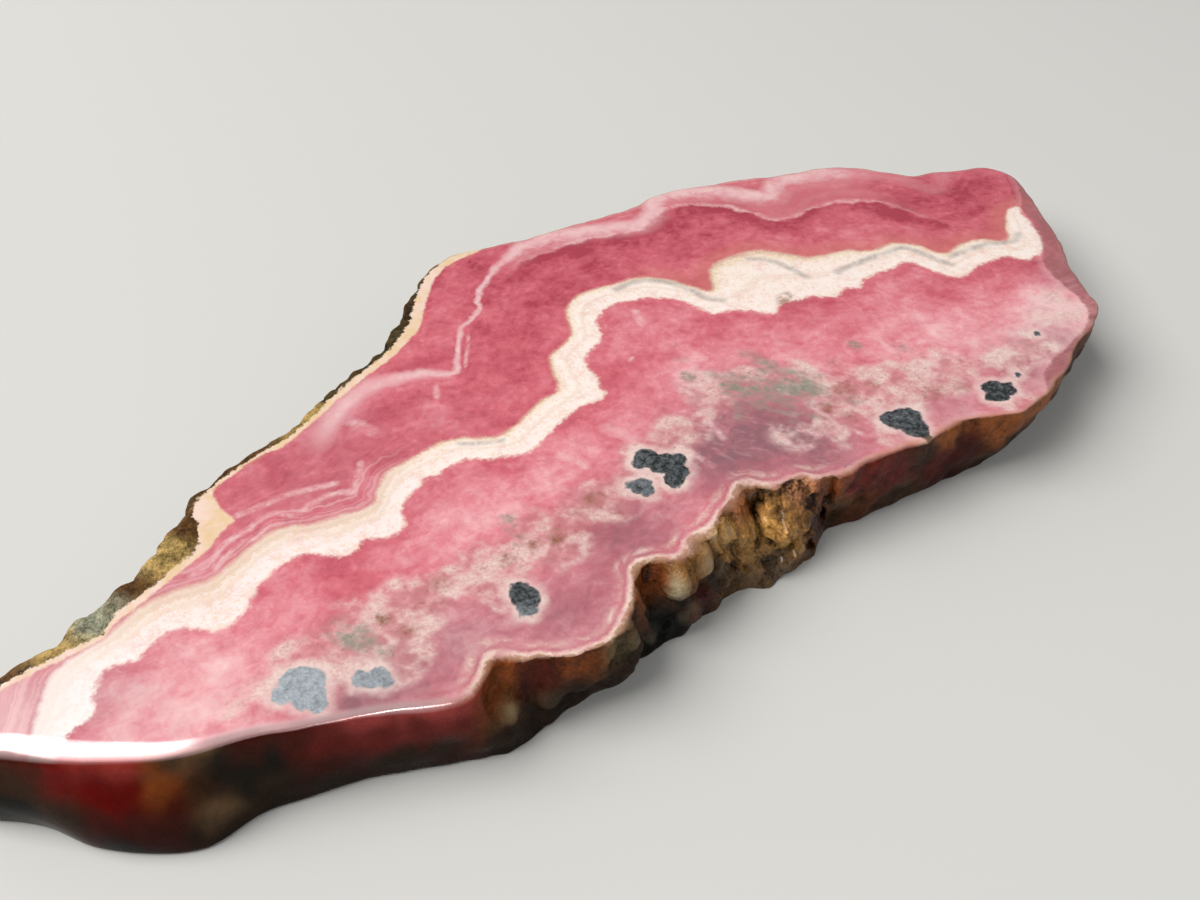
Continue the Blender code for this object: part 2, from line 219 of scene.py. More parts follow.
# where the stone is speckled with cream: x, y, reach, strength
speckleClouds = (
    (-35, -14.5, 2, 0.5), (-31, -13.5, 2.4, 0.8), (-27, -14, 3.4, 1.25), (-23, -12.8, 2.4, 1.15),
    (-18, -12.8, 2.6, 1), (-13, -12.5, 2.9, 1), (-8, -11.7, 2.5, 0.95), (-3, -10.8, 2.9, 1),
    (1, -8.8, 2.2, 0.9), (5, -7, 1.8, 0.85), (9, -6, 1.7, 0.7), (12.5, -8, 2.2, 0.8), (15, -12.5, 3.6, 0.9),
    (19, -13.5, 3.2, 1), (23, -14, 2.8, 0.95), (28, -16, 2, 0.8), (31.5, -15.8, 2.2, 0.9),
    (38, -13, 2.6, 0.5), (35, -13, 1.6, 0.5), (5.8, -4.9, 1.8, 1), (8.5, -13.5, 2.2, 0.55),
    (11, -15, 2, 0.5), (-17.5, -16.3, 1.8, 0.8), (-26, -16.5, 2, 0.7), (14.5, -17.5, 1.6, 0.6),
    (25, -20, 2, 0.5),
)
# olive and grey haze: x, y, reach, strength
hazeClouds = (
    (9.8, -7.6, 3, 0.7), (12.5, -9, 2, 0.6), (11.8, -5.2, 0.9, 0.6), (7.8, -6, 1, 0.6),
    (11, -11.5, 2.6, 0.4), (5.6, -3.4, 0.7, 0.9), (6.3, -1.2, 0.8, 0.45), (19.4, -7.7, 0.9, 0.7),
    (-14.4, -9.8, 0.9, 0.6), (-14.6, -11.5, 0.9, 0.45), (-28.2, -12.5, 1.2, 0.6), (-27.2, -13.7, 1.1, 1),
    (22.3, -10, 1.2, 0.35), (14.8, -13, 1, 0.4), (6.7, 0.4, 0.7, 0.3), (-26.5, -15.3, 1, 0.4),
)
# rusty specks: x, y, reach, strength
rustClouds = (
    (-14, -12.5, 0.5, 0.95), (-12.4, -12.9, 0.7, 0.8), (-16.2, -12.8, 0.6, 0.6), (-8.2, -11, 0.8, 0.6),
    (-21, -12.2, 0.8, 0.6), (-25.5, -13, 0.6, 0.8), (-24.6, -14.6, 0.6, 0.6), (15, -11.3, 0.9, 0.6),
    (17.3, -12, 0.6, 0.5), (12.3, -12.5, 0.7, 0.55), (16.5, -8.5, 0.8, 0.35), (-10, -11.5, 0.5, 0.4),
    (13, -14, 0.5, 0.45), (18.6, 0.6, 0.6, 1), (19.4, 1, 0.5, 0.9), (20.5, -15.5, 0.9, 0.4),
    (22.8, -16.2, 0.8, 0.4),
)
# lobes of dark ore: x, y, radius, how pale it is; the pale lobes are painted pale as a painted reflection of
# the light
oreLobes = (
    (-2.6, -9.6, 1.0, 0.15), (-1.9, -10.7, 1.15, 0.1), (-0.75, -10.9, 0.65, 0.15), (-2.1, -12.3, 0.85, 0.1),
    (-1.5, -12.0, 0.85, 0.1), (-3.4, -9.8, 0.6, 0.2), (-2.6, -12.8, 0.55, 0.1), (-4.7, -11.8, 0.85, 0.35),
    (-5.3, -11.3, 0.45, 0.4), (-4.5, -12.5, 0.5, 0.35), (-16.9, -15.6, 0.75, 0.1), (-17, -16.5, 0.95, 0.15),
    (-17.3, -17.3, 0.7, 0.45), (-16.4, -16.2, 0.5, 0.1), (-32, -14.6, 1.1, 0.9), (-31.3, -14.9, 0.9, 0.85),
    (-33, -15, 0.8, 0.95), (-31.9, -15.9, 1.1, 0.9), (-31.7, -16.9, 0.6, 0.8), (-28.7, -16.6, 0.7, 0.85),
    (-27.9, -16.9, 0.8, 0.8), (-27.6, -17.5, 0.5, 0.75), (15.6, -16.3, 1.0, 0.15), (16.6, -16.6, 1.2, 0.15),
    (16.3, -17.8, 1.1, 0.1), (17.5, -16.6, 0.5, 0.2), (16.3, -19.2, 0.5, 0.0), (16.2, -18.8, 0.4, 0.0),
    (25, -17.9, 1.0, 0.05), (24.8, -17.6, 0.8, 0.05), (24.6, -18.4, 0.85, 0.05), (25.6, -18.4, 0.7, 0.05),
    (26.2, -18, 0.35, 0.1), (23.9, -18.3, 0.5, 0.05), (27.7, -17.6, 0.28, 0.2), (33.3, -14.6, 0.28, 0.2),
)
# thin pale strokes and flecks: half width, then their points
paleStrokes = (
    (0.24, (-34.6, -2.7), (-33, -2.1), (-32, -1.2), (-31, -0.8), (-30, -0.7), (-29.3, -0.3), (-28.5, 0.05),
     (-27.6, -0.2), (-26.9, -0.85), (-26, -1), (-25.4, -0.6), (-24, -0.5), (-22.9, -0.7), (-22.2, -1.1),
     (-21.5, -0.1), (-20.9, 0.7), (-20.5, 1.4)),
    (0.2, (-33, -2.8), (-31.7, -2), (-30.5, -1.6), (-29.6, -1.7), (-28.8, -1.2), (-27.8, -1.3)),
    (0.26, (-30, 1.1), (-28, 1.1), (-26.5, 1.2), (-25, 0.9), (-23, 0.4)),
    (0.16, (-8.6, 7.4), (-8, 8.4), (-7.2, 9.6), (-6.4, 11)),
    (0.45, (-19, 5.8), (-18.7, 5), (-18.3, 4.2)),
    (0.22, (-11.8, 6.3), (-12.1, 5.7), (-12.3, 5.2)),
    (0.35, (7.1, 6.2), (6.8, 5.2), (6.5, 4.4)),
    (0.3, (-7.8, -5.8), (-7.2, -6.9), (-6.9, -8)),
    (0.5, (-3.3, -5.2), (-2.7, -6), (-2.3, -7.2)),
    (0.9, (5.2, -3.8), (5.8, -5), (5.2, -6.4)),
    (0.18, (3.2, 1), (2.8, 0.8)),
    (0.22, (-33.6, 3.2), (-31, 4.2)),
    (0.25, (12.4, -7), (13.5, -8.6), (14.1, -10.4)),
    (0.22, (11.3, -11.2), (11.6, -12.7), (11.8, -14.2), (12.5, -16.3)),
    (0.3, (13.6, -12.5), (14.3, -14.5), (14.3, -16.3), (14.4, -18.1)),
    (0.26, (8.9, -13.2), (9.9, -14.6), (11.1, -15)),
    (0.3, (7.2, -12.2), (7.2, -13.7), (7.4, -14.9), (8.3, -15.1)),
    (0.3, (3.6, -8.5), (3.6, -9.9), (3.5, -10.9)),
    (0.25, (0.6, -11.4), (0.9, -12.9)),
    (0.35, (7.9, -4.6), (8.8, -5.8), (9.6, -6.3)),
    (0.45, (4, -5.9), (5, -5.8), (6.2, -6.2)),
    (0.25, (21.8, -7.6), (21.6, -9), (21.4, -10.6)),
)
# ridges of the greenish haze
greenStrokes = (
    (0.5, (11.2, -3.5), (11.6, -4.3), (12.1, -6.5), (12.7, -8.7), (13.2, -10.4), (13.6, -11.7)),
    (0.45, (7.4, -4.3), (7.7, -5.3), (7.8, -6.5), (7.6, -7.6)),
    (0.4, (6.8, -7.8), (6.5, -8.9), (5.9, -9.6)),
)
greyStrokes = (
    (0.3, (7.6, 9.8), (9.5, 9.9), (11, 9.2), (12.2, 7.8), (12.9, 6.1), (13.4, 4.4), (14.3, 3.4)),
    (0.28, (20.3, 7.2), (21.5, 6.3), (22.2, 4.6), (22.7, 2.2)),
    (0.3, (25.5, 1.4), (28, 1.5), (31, 1.4), (33, 1.2), (33.8, 0), (34.3, -2), (34.8, -3.2)),
    (0.3, (36, -2.3), (38, -2.4), (40, -2.6), (42.5, -3.6), (43.8, -2.9)),
    (0.2, (-13.4, -0.7), (-12, -1.5), (-10.5, -2.1)),
)

# round the rim: its radius, the share of beads and of crystals below it, how far lacy lines follow it
rimColumns = ("x", "y", "radius", "beads", "crystals", "lace")
rimPlaces = (
    (-51.7, -6.3, 0.5, 0.02, 0, 0), (-47.6, -9.7, 0.7, 0, 0, 0), (-44, -12.2, 0.45, 0, 0, 0),
    (-41, -14.1, 0.35, 0, 0, 0), (-38.3, -15.3, 0.28, 0, 0, 0), (-34.5, -16.6, 0.28, 0.01, 0, 0),
    (-30, -18.6, 0.3, 0.01, 0, 0), (-26, -20.5, 0.6, 0.01, 0, 0.2), (-24.2, -21.1, 0.45, 0.02, 0, 0.6),
    (-22.5, -20.4, 0.15, 0.1, 0, 1), (-21.2, -19.1, 0.12, 0.15, 0, 1), (-19, -20.9, 0.12, 0.12, 0, 1),
    (-15.4, -22.1, 0.15, 0.14, 0, 1), (-12.2, -20.9, 0.12, 0.2, 0, 1), (-9.2, -17.7, 0.12, 0.22, 0.1, 1),
    (-6.2, -18.7, 0.1, 0.22, 0.2, 0.8), (-3.5, -17.7, 0.1, 0.15, 0.5, 1), (0, -16.2, 0.1, 0.08, 0.9, 1),
    (1.6, -15, 0.1, 0.06, 1, 0.9), (4.2, -16.9, 0.12, 0.06, 1, 0.8), (7, -18.1, 0.15, 0.08, 0.6, 0.7),
    (10, -18.6, 0.2, 0.08, 0.25, 0.3), (16.1, -19.4, 0.2, 0.1, 0.1, 0.1), (22, -19.8, 0.2, 0.1, 0.05, 0.1),
    (28, -20.4, 0.25, 0.1, 0, 0.1), (34.4, -17.7, 0.25, 0.08, 0, 0), (40.9, -14.7, 0.3, 0.08, 0, 0),
    (46.3, -5.6, 0.3, 0.06, 0, 0), (51.5, 4.6, 0.4, 0.04, 0, 0.1), (48, 8.6, 0.35, 0.05, 0, 0.1),
    (41.6, 12.3, 0.3, 0.06, 0, 0.2), (32, 17.6, 0.3, 0.06, 0, 0.3), (19.4, 21, 0.3, 0.08, 0, 0.3),
    (6.5, 21.2, 0.3, 0.08, 0, 0.2), (-3.3, 21.9, 0.25, 0.1, 0, 0), (-7.6, 18, 0.15, 0.15, 0, 0),
    (-14.6, 11.4, 0.1, 0.2, 0, 0), (-20.6, 8.4, 0.1, 0.2, 0, 0), (-27, 6, 0.1, 0.12, 0, 0),
    (-32, 3.7, 0.1, 0.15, 0, 0), (-35.3, 0.8, 0.1, 0.25, 0, 0), (-39.2, -2.1, 0.12, 0.2, 0, 0),
    (-43, -4, 0.12, 0.2, 0, 0), (-46.8, -4.8, 0.15, 0.12, 0, 0), (-50.2, -5.3, 0.3, 0.06, 0, 0),
)

skinTones = {
    "deepRed": (0.14, 0.005, 0.004),
    "pinkGlow": (0.34, 0.040, 0.032),
    "redBrown": (0.08, 0.011, 0.006),
    "wine": (0.16, 0.018, 0.014),
    "umber": (0.045, 0.021, 0.010),
    "nearBlack": (0.010, 0.011, 0.008),
    "ochreBrown": (0.13, 0.060, 0.020),
    "rust": (0.22, 0.055, 0.012),
    "gold": (0.52, 0.27, 0.075),
    "amber": (0.36, 0.11, 0.030),
    "darkGold": (0.23, 0.105, 0.028),
    "tan": (0.30, 0.17, 0.08),
    "paleBead": (0.50, 0.43, 0.27),
    "peach": (0.62, 0.27, 0.13),
    "ochre": (0.52, 0.35, 0.12),
    "greyGreen": (0.36, 0.36, 0.25),
    "olive": (0.085, 0.062, 0.024),
    "rosePink": (0.46, 0.07, 0.065),
}
# patches of skin: x, y, z, tone
skinPatches = (
    (-50.5, -8.5, 4, "umber"), (-48.5, -10.9, 4.4, "umber"), (-49.2, -10.9, 2.1, "nearBlack"),
    (-47.4, -10.6, 5.6, "redBrown"), (-45.9, -12.2, 5.4, "deepRed"), (-44.5, -13.9, 4.8, "deepRed"),
    (-42.9, -15.2, 4.6, "deepRed"), (-43.6, -14.8, 3.6, "deepRed"), (-42.7, -13.7, 6, "pinkGlow"),
    (-45.4, -11.9, 6.2, "pinkGlow"), (-44.2, -12.8, 6.1, "pinkGlow"), (-40.9, -15.5, 5.3, "rust"),
    (-41.5, -16.1, 4.4, "rust"), (-45.2, -15.1, 2.4, "redBrown"), (-46.9, -13.2, 2.9, "umber"),
    (-43.2, -16.6, 2.6, "redBrown"), (-44.4, -16.2, 0.8, "nearBlack"), (-40.8, -17, 3.4, "redBrown"),
    (-40.3, -17.9, 1.8, "umber"), (-41.8, -17.4, 2.2, "redBrown"), (-38.8, -15.5, 6.2, "tan"),
    (-39.4, -15.4, 6.2, "nearBlack"), (-37.6, -16.6, 5.2, "nearBlack"), (-37, -17.1, 4.2, "nearBlack"),
    (-37.4, -17.6, 3, "nearBlack"), (-36.2, -17.2, 5.4, "redBrown"), (-35.1, -17.6, 4.2, "nearBlack"),
    (-38.7, -17.8, 2.2, "tan"), (-38.8, -17.8, 0.8, "umber"), (-39, -17, 4.4, "umber"),
    (-35.6, -17.8, 2, "umber"), (-33.6, -18, 4.6, "redBrown"), (-33.4, -17.6, 5.9, "redBrown"),
    (-31.8, -18.5, 4.8, "wine"), (-32.2, -18.7, 3, "redBrown"), (-32.4, -18.7, 1.6, "umber"),
    (-29, -19.5, 4.8, "wine"), (-29.3, -19.1, 6.1, "rosePink"), (-27.7, -19.8, 6.2, "rosePink"),
    (-25.9, -20.5, 6.2, "rosePink"), (-24.6, -21, 6, "rosePink"), (-28.3, -20, 1.9, "umber"),
    (-25.9, -21, 2.9, "umber"), (-26.6, -20.6, 4.6, "wine"), (-24.2, -21.4, 4.4, "wine"),
    (-22.8, -20.9, 4.6, "rust"), (-21.3, -21.4, 3.4, "ochreBrown"), (-21.2, -21.9, 1.2, "umber"),
    (-21.4, -20, 5.8, "rust"), (-19, -21.4, 4.8, "redBrown"), (-18.8, -21.6, 2, "umber"),
    (-16.5, -22, 5.6, "rust"), (-16.4, -22, 3, "umber"), (-14, -22.3, 1.5, "umber"),
    (-13.4, -22, 5, "olive"), (-12.2, -21.6, 5, "umber"), (-12.4, -21.4, 2.2, "umber"),
    (-10.4, -19.2, 4.8, "rust"), (-9.4, -19.6, 3.2, "nearBlack"), (-7.4, -19.5, 4.5, "umber"),
    (-8.2, -18.6, 5.9, "rust"), (-8.4, -20.2, 1.6, "nearBlack"), (-6.2, -19, 5.8, "darkGold"),
    (-4.7, -19.3, 5, "darkGold"), (-5.2, -20, 2.4, "redBrown"), (-3.6, -19.4, 3.6, "umber"),
    (-2.4, -18.4, 5.2, "gold"), (-2.2, -19.6, 2.4, "darkGold"), (0, -18.6, 3.4, "gold"),
    (0.4, -16.6, 5.8, "rust"), (2, -16.4, 5.4, "darkGold"), (2.2, -18, 4.2, "gold"),
    (3.2, -19.4, 2.8, "gold"), (1.6, -20.2, 0.8, "tan"), (4.2, -18.6, 4.2, "darkGold"),
    (5.2, -17.6, 5.8, "peach"), (6.6, -18.5, 3, "redBrown"), (7.4, -18.3, 5.2, "rust"),
    (8.6, -18.2, 2.4, "ochreBrown"), (10.2, -18.8, 5, "wine"), (10.6, -18.6, 2, "rust"),
    (14, -19.1, 3.9, "wine"), (14.4, -19, 1.4, "ochreBrown"), (16.2, -19.4, 4.8, "umber"),
    (18, -19.2, 3, "wine"), (18.6, -19, 5.6, "amber"), (20.4, -19.5, 3.4, "redBrown"),
    (23.4, -20.3, 5, "amber"), (25, -20.6, 5.8, "amber"), (25.4, -20, 2, "umber"), (29, -20, 5.6, "amber"),
    (30, -19.6, 3, "redBrown"), (34.5, -17.6, 5.4, "rust"), (34.5, -17.6, 2.6, "umber"),
    (39, -15.6, 3.6, "redBrown"), (43.5, -9.6, 3.6, "wine"), (49, -0.8, 3.6, "rust"),
    (51.2, 5.4, 3.6, "wine"), (46.4, 9, 3.6, "rosePink"), (41.4, 12.2, 3.6, "wine"),
    (34, 16.8, 3.6, "rosePink"), (27, 19, 3.6, "wine"), (20, 20.8, 3.6, "rosePink"),
    (12, 20.2, 3.6, "wine"), (5, 21, 3.6, "redBrown"), (-1.5, 22.2, 4.6, "tan"), (-2, 22, 2, "ochreBrown"),
    (-6.4, 19.4, 3.6, "olive"), (-9.2, 15.6, 3.6, "umber"), (-12.4, 13.4, 6.2, "olive"),
    (-13.4, 12.8, 3, "ochreBrown"), (-17, 10.8, 3.4, "umber"), (-18.8, 9.8, 6.3, "olive"),
    (-21.4, 8.4, 5.6, "ochre"), (-23.5, 7.6, 3, "umber"), (-27.4, 6.6, 4.6, "ochreBrown"),
    (-30.6, 5.6, 3, "umber"), (-33, 1.6, 6.4, "ochreBrown"), (-33.8, 2.6, 3.6, "olive"),
    (-35.4, 0, 6.4, "ochre"), (-36.2, 1.2, 3.2, "ochreBrown"), (-38.4, -1.1, 6.4, "ochreBrown"),
    (-39, -0.8, 3, "olive"), (-41.2, -3.3, 6.4, "greyGreen"), (-41.6, -2.4, 3, "ochreBrown"),
    (-43.6, -4.1, 6.4, "ochre"), (-44.6, -3.4, 3, "umber"), (-47.4, -4.6, 5.4, "ochreBrown"),
    (-48.6, -4.2, 2.4, "umber"), (-50.6, -5.2, 5, "rust"), (-52, -6.2, 3, "redBrown"),
)

# beads that stand out of the notched wall: x, y, z, reach, height, how pale their tops are (the pale tops
# also carry a painted highlight)
bigBeads = (
    (-7.2, -19.7, 4.8, 0.95, 0.6, 0.6), (-12.3, -22.1, 4.9, 0.8, 0.45, 0.12),
    (-4.5, -19.4, 4.9, 1.1, 0.5, 0.35), (-10.4, -19.8, 5.0, 0.8, 0.3, 0.2),
    (-14.4, -22.3, 5.2, 0.7, 0.3, 0.08), (-21.4, -21.4, 3.6, 1.1, 0.35, 0.16),
    (-2.8, -19, 3.2, 1.1, 0.4, 0.1), (-6.3, -20.2, 2.2, 1.2, 0.4, 0.1), (-18.4, -21.8, 3.0, 1.2, 0.3, 0.03),
    (-9.4, -20.4, 1.8, 1.0, 0.3, 0.15), (-3.2, -18.3, 5.6, 0.6, 0.25, 0.6),
    (-1.6, -18.2, 5.2, 0.7, 0.3, 0.3),
)


# the cut stone's mesh

sliceBody = {
    "node": "rhodochrosite_slice",
    "slot": "banded_rhodochrosite",
    "thickness": 6.5,
    "stations": 400,                 # corners in each ring of the sawn wall
    "walkStart": (12.0, 20.6),       # on the straight stretch of the back
    "weld": 1e-6,                    # in metres
    "levelSlack": 1e-5,              # in metres
    "ringSlack": 0.01,               # in rings
    "wallCuts": 2,
    "smoothRounds": 4,               # level rounds that even out the facets of the CAD wall
    "roundedRings": 2,               # rings of the wall that make the polished rim
    "underRim": 0.3,
    "calmRings": 3,                  # rings beside both rims where the relief grows
    "beadsAtRim": 0.3,
    "faceStep": 0.3,
    "underStep": 0.75,
    "rimStrip": 0.7,                 # between the rim and the even grid, in steps of the grid
    "beadSizes": ((1.9, 1.9), (0.95, 1.1), (0.45, 0.45)),    # size, height
    "beadCurve": 1.6,
    "beadSink": 0.6,
    "crystalSizes": ((2.1, 1.15), (1.05, 0.5)),              # size, height
    "crystalLean": 1.7,
    "leanSeed": 9.1,
    "crystalEdge": 0.45,             # share of crystals from which faces stay flat
    "tallestRelief": 0.75,
    "steadying": 17,                 # how many corners of the rim share one way out
    "fields": ("skinTurn", "skinDown", "skinRelief", "crystal", "beadTop", "onWall"),
    "slant": (0.10, -0.16),          # how far the layers lean for each mm of depth
}

# the UV map: two flat faces, and between them the wall in strips, one above the other
uvPlan = {
    "margin": 0.01,
    "width": 0.98,
    "wallStrips": 3,
    "wallFoot": 0.365,
    "stripPitch": 0.09,
    "ringPitch": 0.0075,
    "slack": 0.001,                  # for rounding, in strips
    "upperFace": (0.56, 0.98),       # foot, width
    "lowerFace": (0.005, 0.6),
}


def treeOf(points):
    # for finding the nearest of many points
    tree = kdtree.KDTree(len(points))
    for index, point in enumerate(points):
        tree.insert(point, index)
    tree.balance()
    return tree


def toStoneMarks(points):
    # the stone's own marks, in mm, from places in the row frame
    return np.array([(point[0] / mm - bodyShift[0], point[1] / mm - bodyShift[1]) for point in points])


def levelOf(corner):
    # height in mm, to the nearest hundredth
    return round(corner.co.z / mm, 2)


def walkRing(start, ring):
    # the corners of one level ring in order, counter-clockwise from above
    def beside(corner):
        return [edge.other_vert(corner) for edge in corner.link_edges if edge.other_vert(corner) in ring]
    last, here = start, min(beside(start), key=lambda corner: corner.co.x)
    order = [start]
    while here is not start:
        order.append(here)
        ahead = [corner for corner in beside(here) if corner is not last]
        last, here = here, ahead[0]
    return order


def openWall():
    # a merged copy of the sawn slab without its flat faces, marked with how far round and how far down
    wall = bmesh.new()
    wall.from_mesh(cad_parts[sliceBody["node"]].data)
    layout = wall.loops.layers.uv.new("OFBake")
    for name in sliceBody["fields"]:
        wall.verts.layers.float.new(name)
    bmesh.ops.remove_doubles(wall, verts=wall.verts[:], dist=sliceBody["weld"])
    flat = [face for face in wall.faces if len({levelOf(corner) for corner in face.verts}) == 1]
    bmesh.ops.delete(wall, geom=flat, context="FACES")
    levels = sorted({levelOf(corner) for corner in wall.verts}, reverse=True)
    marks = {}
    aim = Vector((*(np.array(sliceBody["walkStart"]) + bodyShift) * mm, sliceBody["thickness"] * mm))
    start = min(wall.verts, key=lambda corner: (corner.co - aim).length)
    for down, level in enumerate(levels):
        ring = {corner for corner in wall.verts if levelOf(corner) == level}
        if down:
            below = [edge.other_vert(start) for edge in start.link_edges if edge.other_vert(start) in ring]
            start = min(below, key=lambda corner: abs(corner.co.x - start.co.x))
        for turn, corner in enumerate(walkRing(start, ring)):
            marks[corner] = (turn, down)
    ends = {edge: [marks[corner] for corner in edge.verts] for edge in wall.edges}
    slanting = [edge for edge, (one, other) in ends.items() if one[0] != other[0] and one[1] != other[1]]
    bmesh.ops.dissolve_edges(wall, edges=slanting, use_verts=False)
    for face in wall.faces:
        turns = [marks[loop.vert][0] for loop in face.loops]
        wraps = max(turns) - min(turns) > sliceBody["stations"] / 2
        for loop, turn in zip(face.loops, turns):
            if wraps and turn < sliceBody["stations"] / 2:
                turn += sliceBody["stations"]
            loop[layout].uv = (turn, marks[loop.vert][1])
    bmesh.ops.subdivide_edges(wall, edges=wall.edges[:], cuts=sliceBody["wallCuts"], use_grid_fill=True)
    for _ in range(sliceBody["smoothRounds"]):
        bmesh.ops.smooth_vert(wall, verts=wall.verts[:], factor=0.5,
                              use_axis_x=True, use_axis_y=True, use_axis_z=False)
    return wall, layout


def aroundRim(turns, rimTurns, name):
    # a value from rimPlaces, blended between its places
    values = [place[rimColumns.index(name)] for place in rimPlaces]
    return np.interp(turns, rimTurns, values, period=sliceBody["stations"])


def beads(place):
    # rounded knobs of several sizes
    relief = 0.0
    for size, height in sliceBody["beadSizes"]:
        away = noise.voronoi(place / size)[0][0]
        relief += height * (math.sqrt(max(0, 1 - sliceBody["beadCurve"] * away ** 2)) - sliceBody["beadSink"])
    return relief


def crystals(place):
    # flat facets, each with its own lean
    relief = 0.0
    for size, height in sliceBody["crystalSizes"]:
        near, cells = noise.voronoi(place / size)
        lean = noise.cell_vector(cells[0] * sliceBody["leanSeed"]) - Vector((0.5, 0.5, 0.5))
        tilt = sliceBody["crystalLean"] * lean.dot(place / size - cells[0])
        relief += height * (tilt + (0.5 - near[0]) / 2)
    return relief


def placedBeads(x, y, z):
    # how far the big beads swell out at one place, and how pale their tops are there, brightest at the top as
    # a painted highlight
    swelling, palenessAndHighlight = 0.0, 0.0
    for beadX, beadY, beadZ, reach, swell, pale in bigBeads:
        away = ((x - beadX) ** 2 + (y - beadY) ** 2 + (z - beadZ) ** 2) / reach ** 2
        if away < 1:
            swelling += swell * math.sqrt(1 - away)
            palenessAndHighlight = max(palenessAndHighlight, pale * (1 - away) ** 1.5)
    return swelling, palenessAndHighlight


def waysOut(turns, corners, onRim):
    # level ways out of the stone, evened along the rim so that pushed corners don't cross in a notch
    order = onRim[np.argsort(turns[onRim])]
    ways = np.array([corners[index].normal[:2] for index in order])
    width, around = sliceBody["steadying"], sliceBody["stations"]
    window = np.hanning(width + 2)[1:-1]
    wrapped = np.vstack([ways[-(width // 2):], ways, ways[:width // 2]])
    evened = [np.convolve(column, window, "valid") for column in wrapped.T]
    ways = np.stack([np.interp(turns, turns[order], column, period=around) for column in evened], axis=1)
    return ways / np.linalg.norm(ways, axis=1, keepdims=True)


def roundRims(down, rings, z, radius, heights):
    # the height of a corner, and how far it is drawn in, so that both flat faces have a rounded rim
    thickness, rounded, underRim = sliceBody["thickness"], sliceBody["roundedRings"], sliceBody["underRim"]
    if down <= rounded:
        angle = down / rounded * math.pi / 2
        return thickness - radius * (1 - math.cos(angle)), radius * (1 - math.sin(angle))
    if down <= rounded + 1:
        share = (z - heights[rounded + 1]) / (heights[rounded] - heights[rounded + 1])
        return heights[rounded + 1] + share * (thickness - radius - heights[rounded + 1]), 0
    if down >= rings - 1:
        angle = (rings - down) * math.pi / 2
        return underRim * (1 - math.cos(angle)), underRim * (1 - math.sin(angle))
    if down >= rings - 2:
        share = (z - heights[rings - 1]) / (heights[rings - 2] - heights[rings - 1])
        return underRim + share * (heights[rings - 2] - underRim), 0
    return z, 0


def shapeWall(wall, layout):
    # knobs and crystals on the skin, and a rounded rim at both flat faces
    wall.normal_update()
    corners = wall.verts[:]
    marks = np.array([corner.link_loops[0][layout].uv for corner in corners])
    turns, downs = marks[:, 0] % sliceBody["stations"], marks[:, 1]
    rings = downs.max()
    onRim = np.flatnonzero(downs < sliceBody["ringSlack"])
    rimMarks = toStoneMarks([corners[index].co for index in onRim])
    rimTurns = [turns[onRim[np.argmin(np.hypot(*(rimMarks - place[:2]).T))]] for place in rimPlaces]
    radii, beadShare, crystalShare = (aroundRim(turns, rimTurns, name) for name in rimColumns[2:5])
    heights = {round(float(down), 2): corner.co.z / mm for corner, down in zip(corners, downs)}
    layers = [wall.verts.layers.float[name] for name in sliceBody["fields"]]
    ways, tallest, atRim = waysOut(turns, corners, onRim), sliceBody["tallestRelief"], sliceBody["beadsAtRim"]
    moved = []
    for index, corner in enumerate(corners):
        down, place, z = downs[index], corner.co / mm, corner.co.z / mm
        inner = min(1, min(down, rings - down) / sliceBody["calmRings"])
        relief = beadShare[index] * beads(place) * (atRim + (1 - atRim) * inner)
        relief += crystalShare[index] * crystals(place) * inner
        swelling, beadTop = placedBeads(place.x - bodyShift[0], place.y - bodyShift[1], z)
        relief = tallest * math.tanh((relief + swelling) / tallest)
        z, drawnIn = roundRims(down, rings, z, radii[index], heights)
        push = relief - drawnIn
        moved.append((place.x + ways[index][0] * push, place.y + ways[index][1] * push, z))
        for layer, value in zip(layers, (turns[index], down, relief, crystalShare[index], beadTop, 1)):
            corner[layer] = value
    for corner, place in zip(corners, moved):
        corner.co = Vector(place) * mm
    return rimTurns


def layOutWall(wall, layout):
    # the wall's strips in the UV map, from how far round and how far down each corner is
    perStrip = math.ceil(sliceBody["stations"] / uvPlan["wallStrips"])
    crystal = wall.verts.layers.float["crystal"]
    for face in wall.faces:
        face.smooth = face.verts[0][crystal] < sliceBody["crystalEdge"]
        strip = math.floor(min(loop[layout].uv.x for loop in face.loops) / perStrip + uvPlan["slack"])
        for loop in face.loops:
            turn, down = loop[layout].uv
            across = uvPlan["margin"] + uvPlan["width"] * (turn / perStrip - strip)
            up = uvPlan["wallFoot"] + uvPlan["stripPitch"] * strip - uvPlan["ringPitch"] * down
            loop[layout].uv = (across, up)


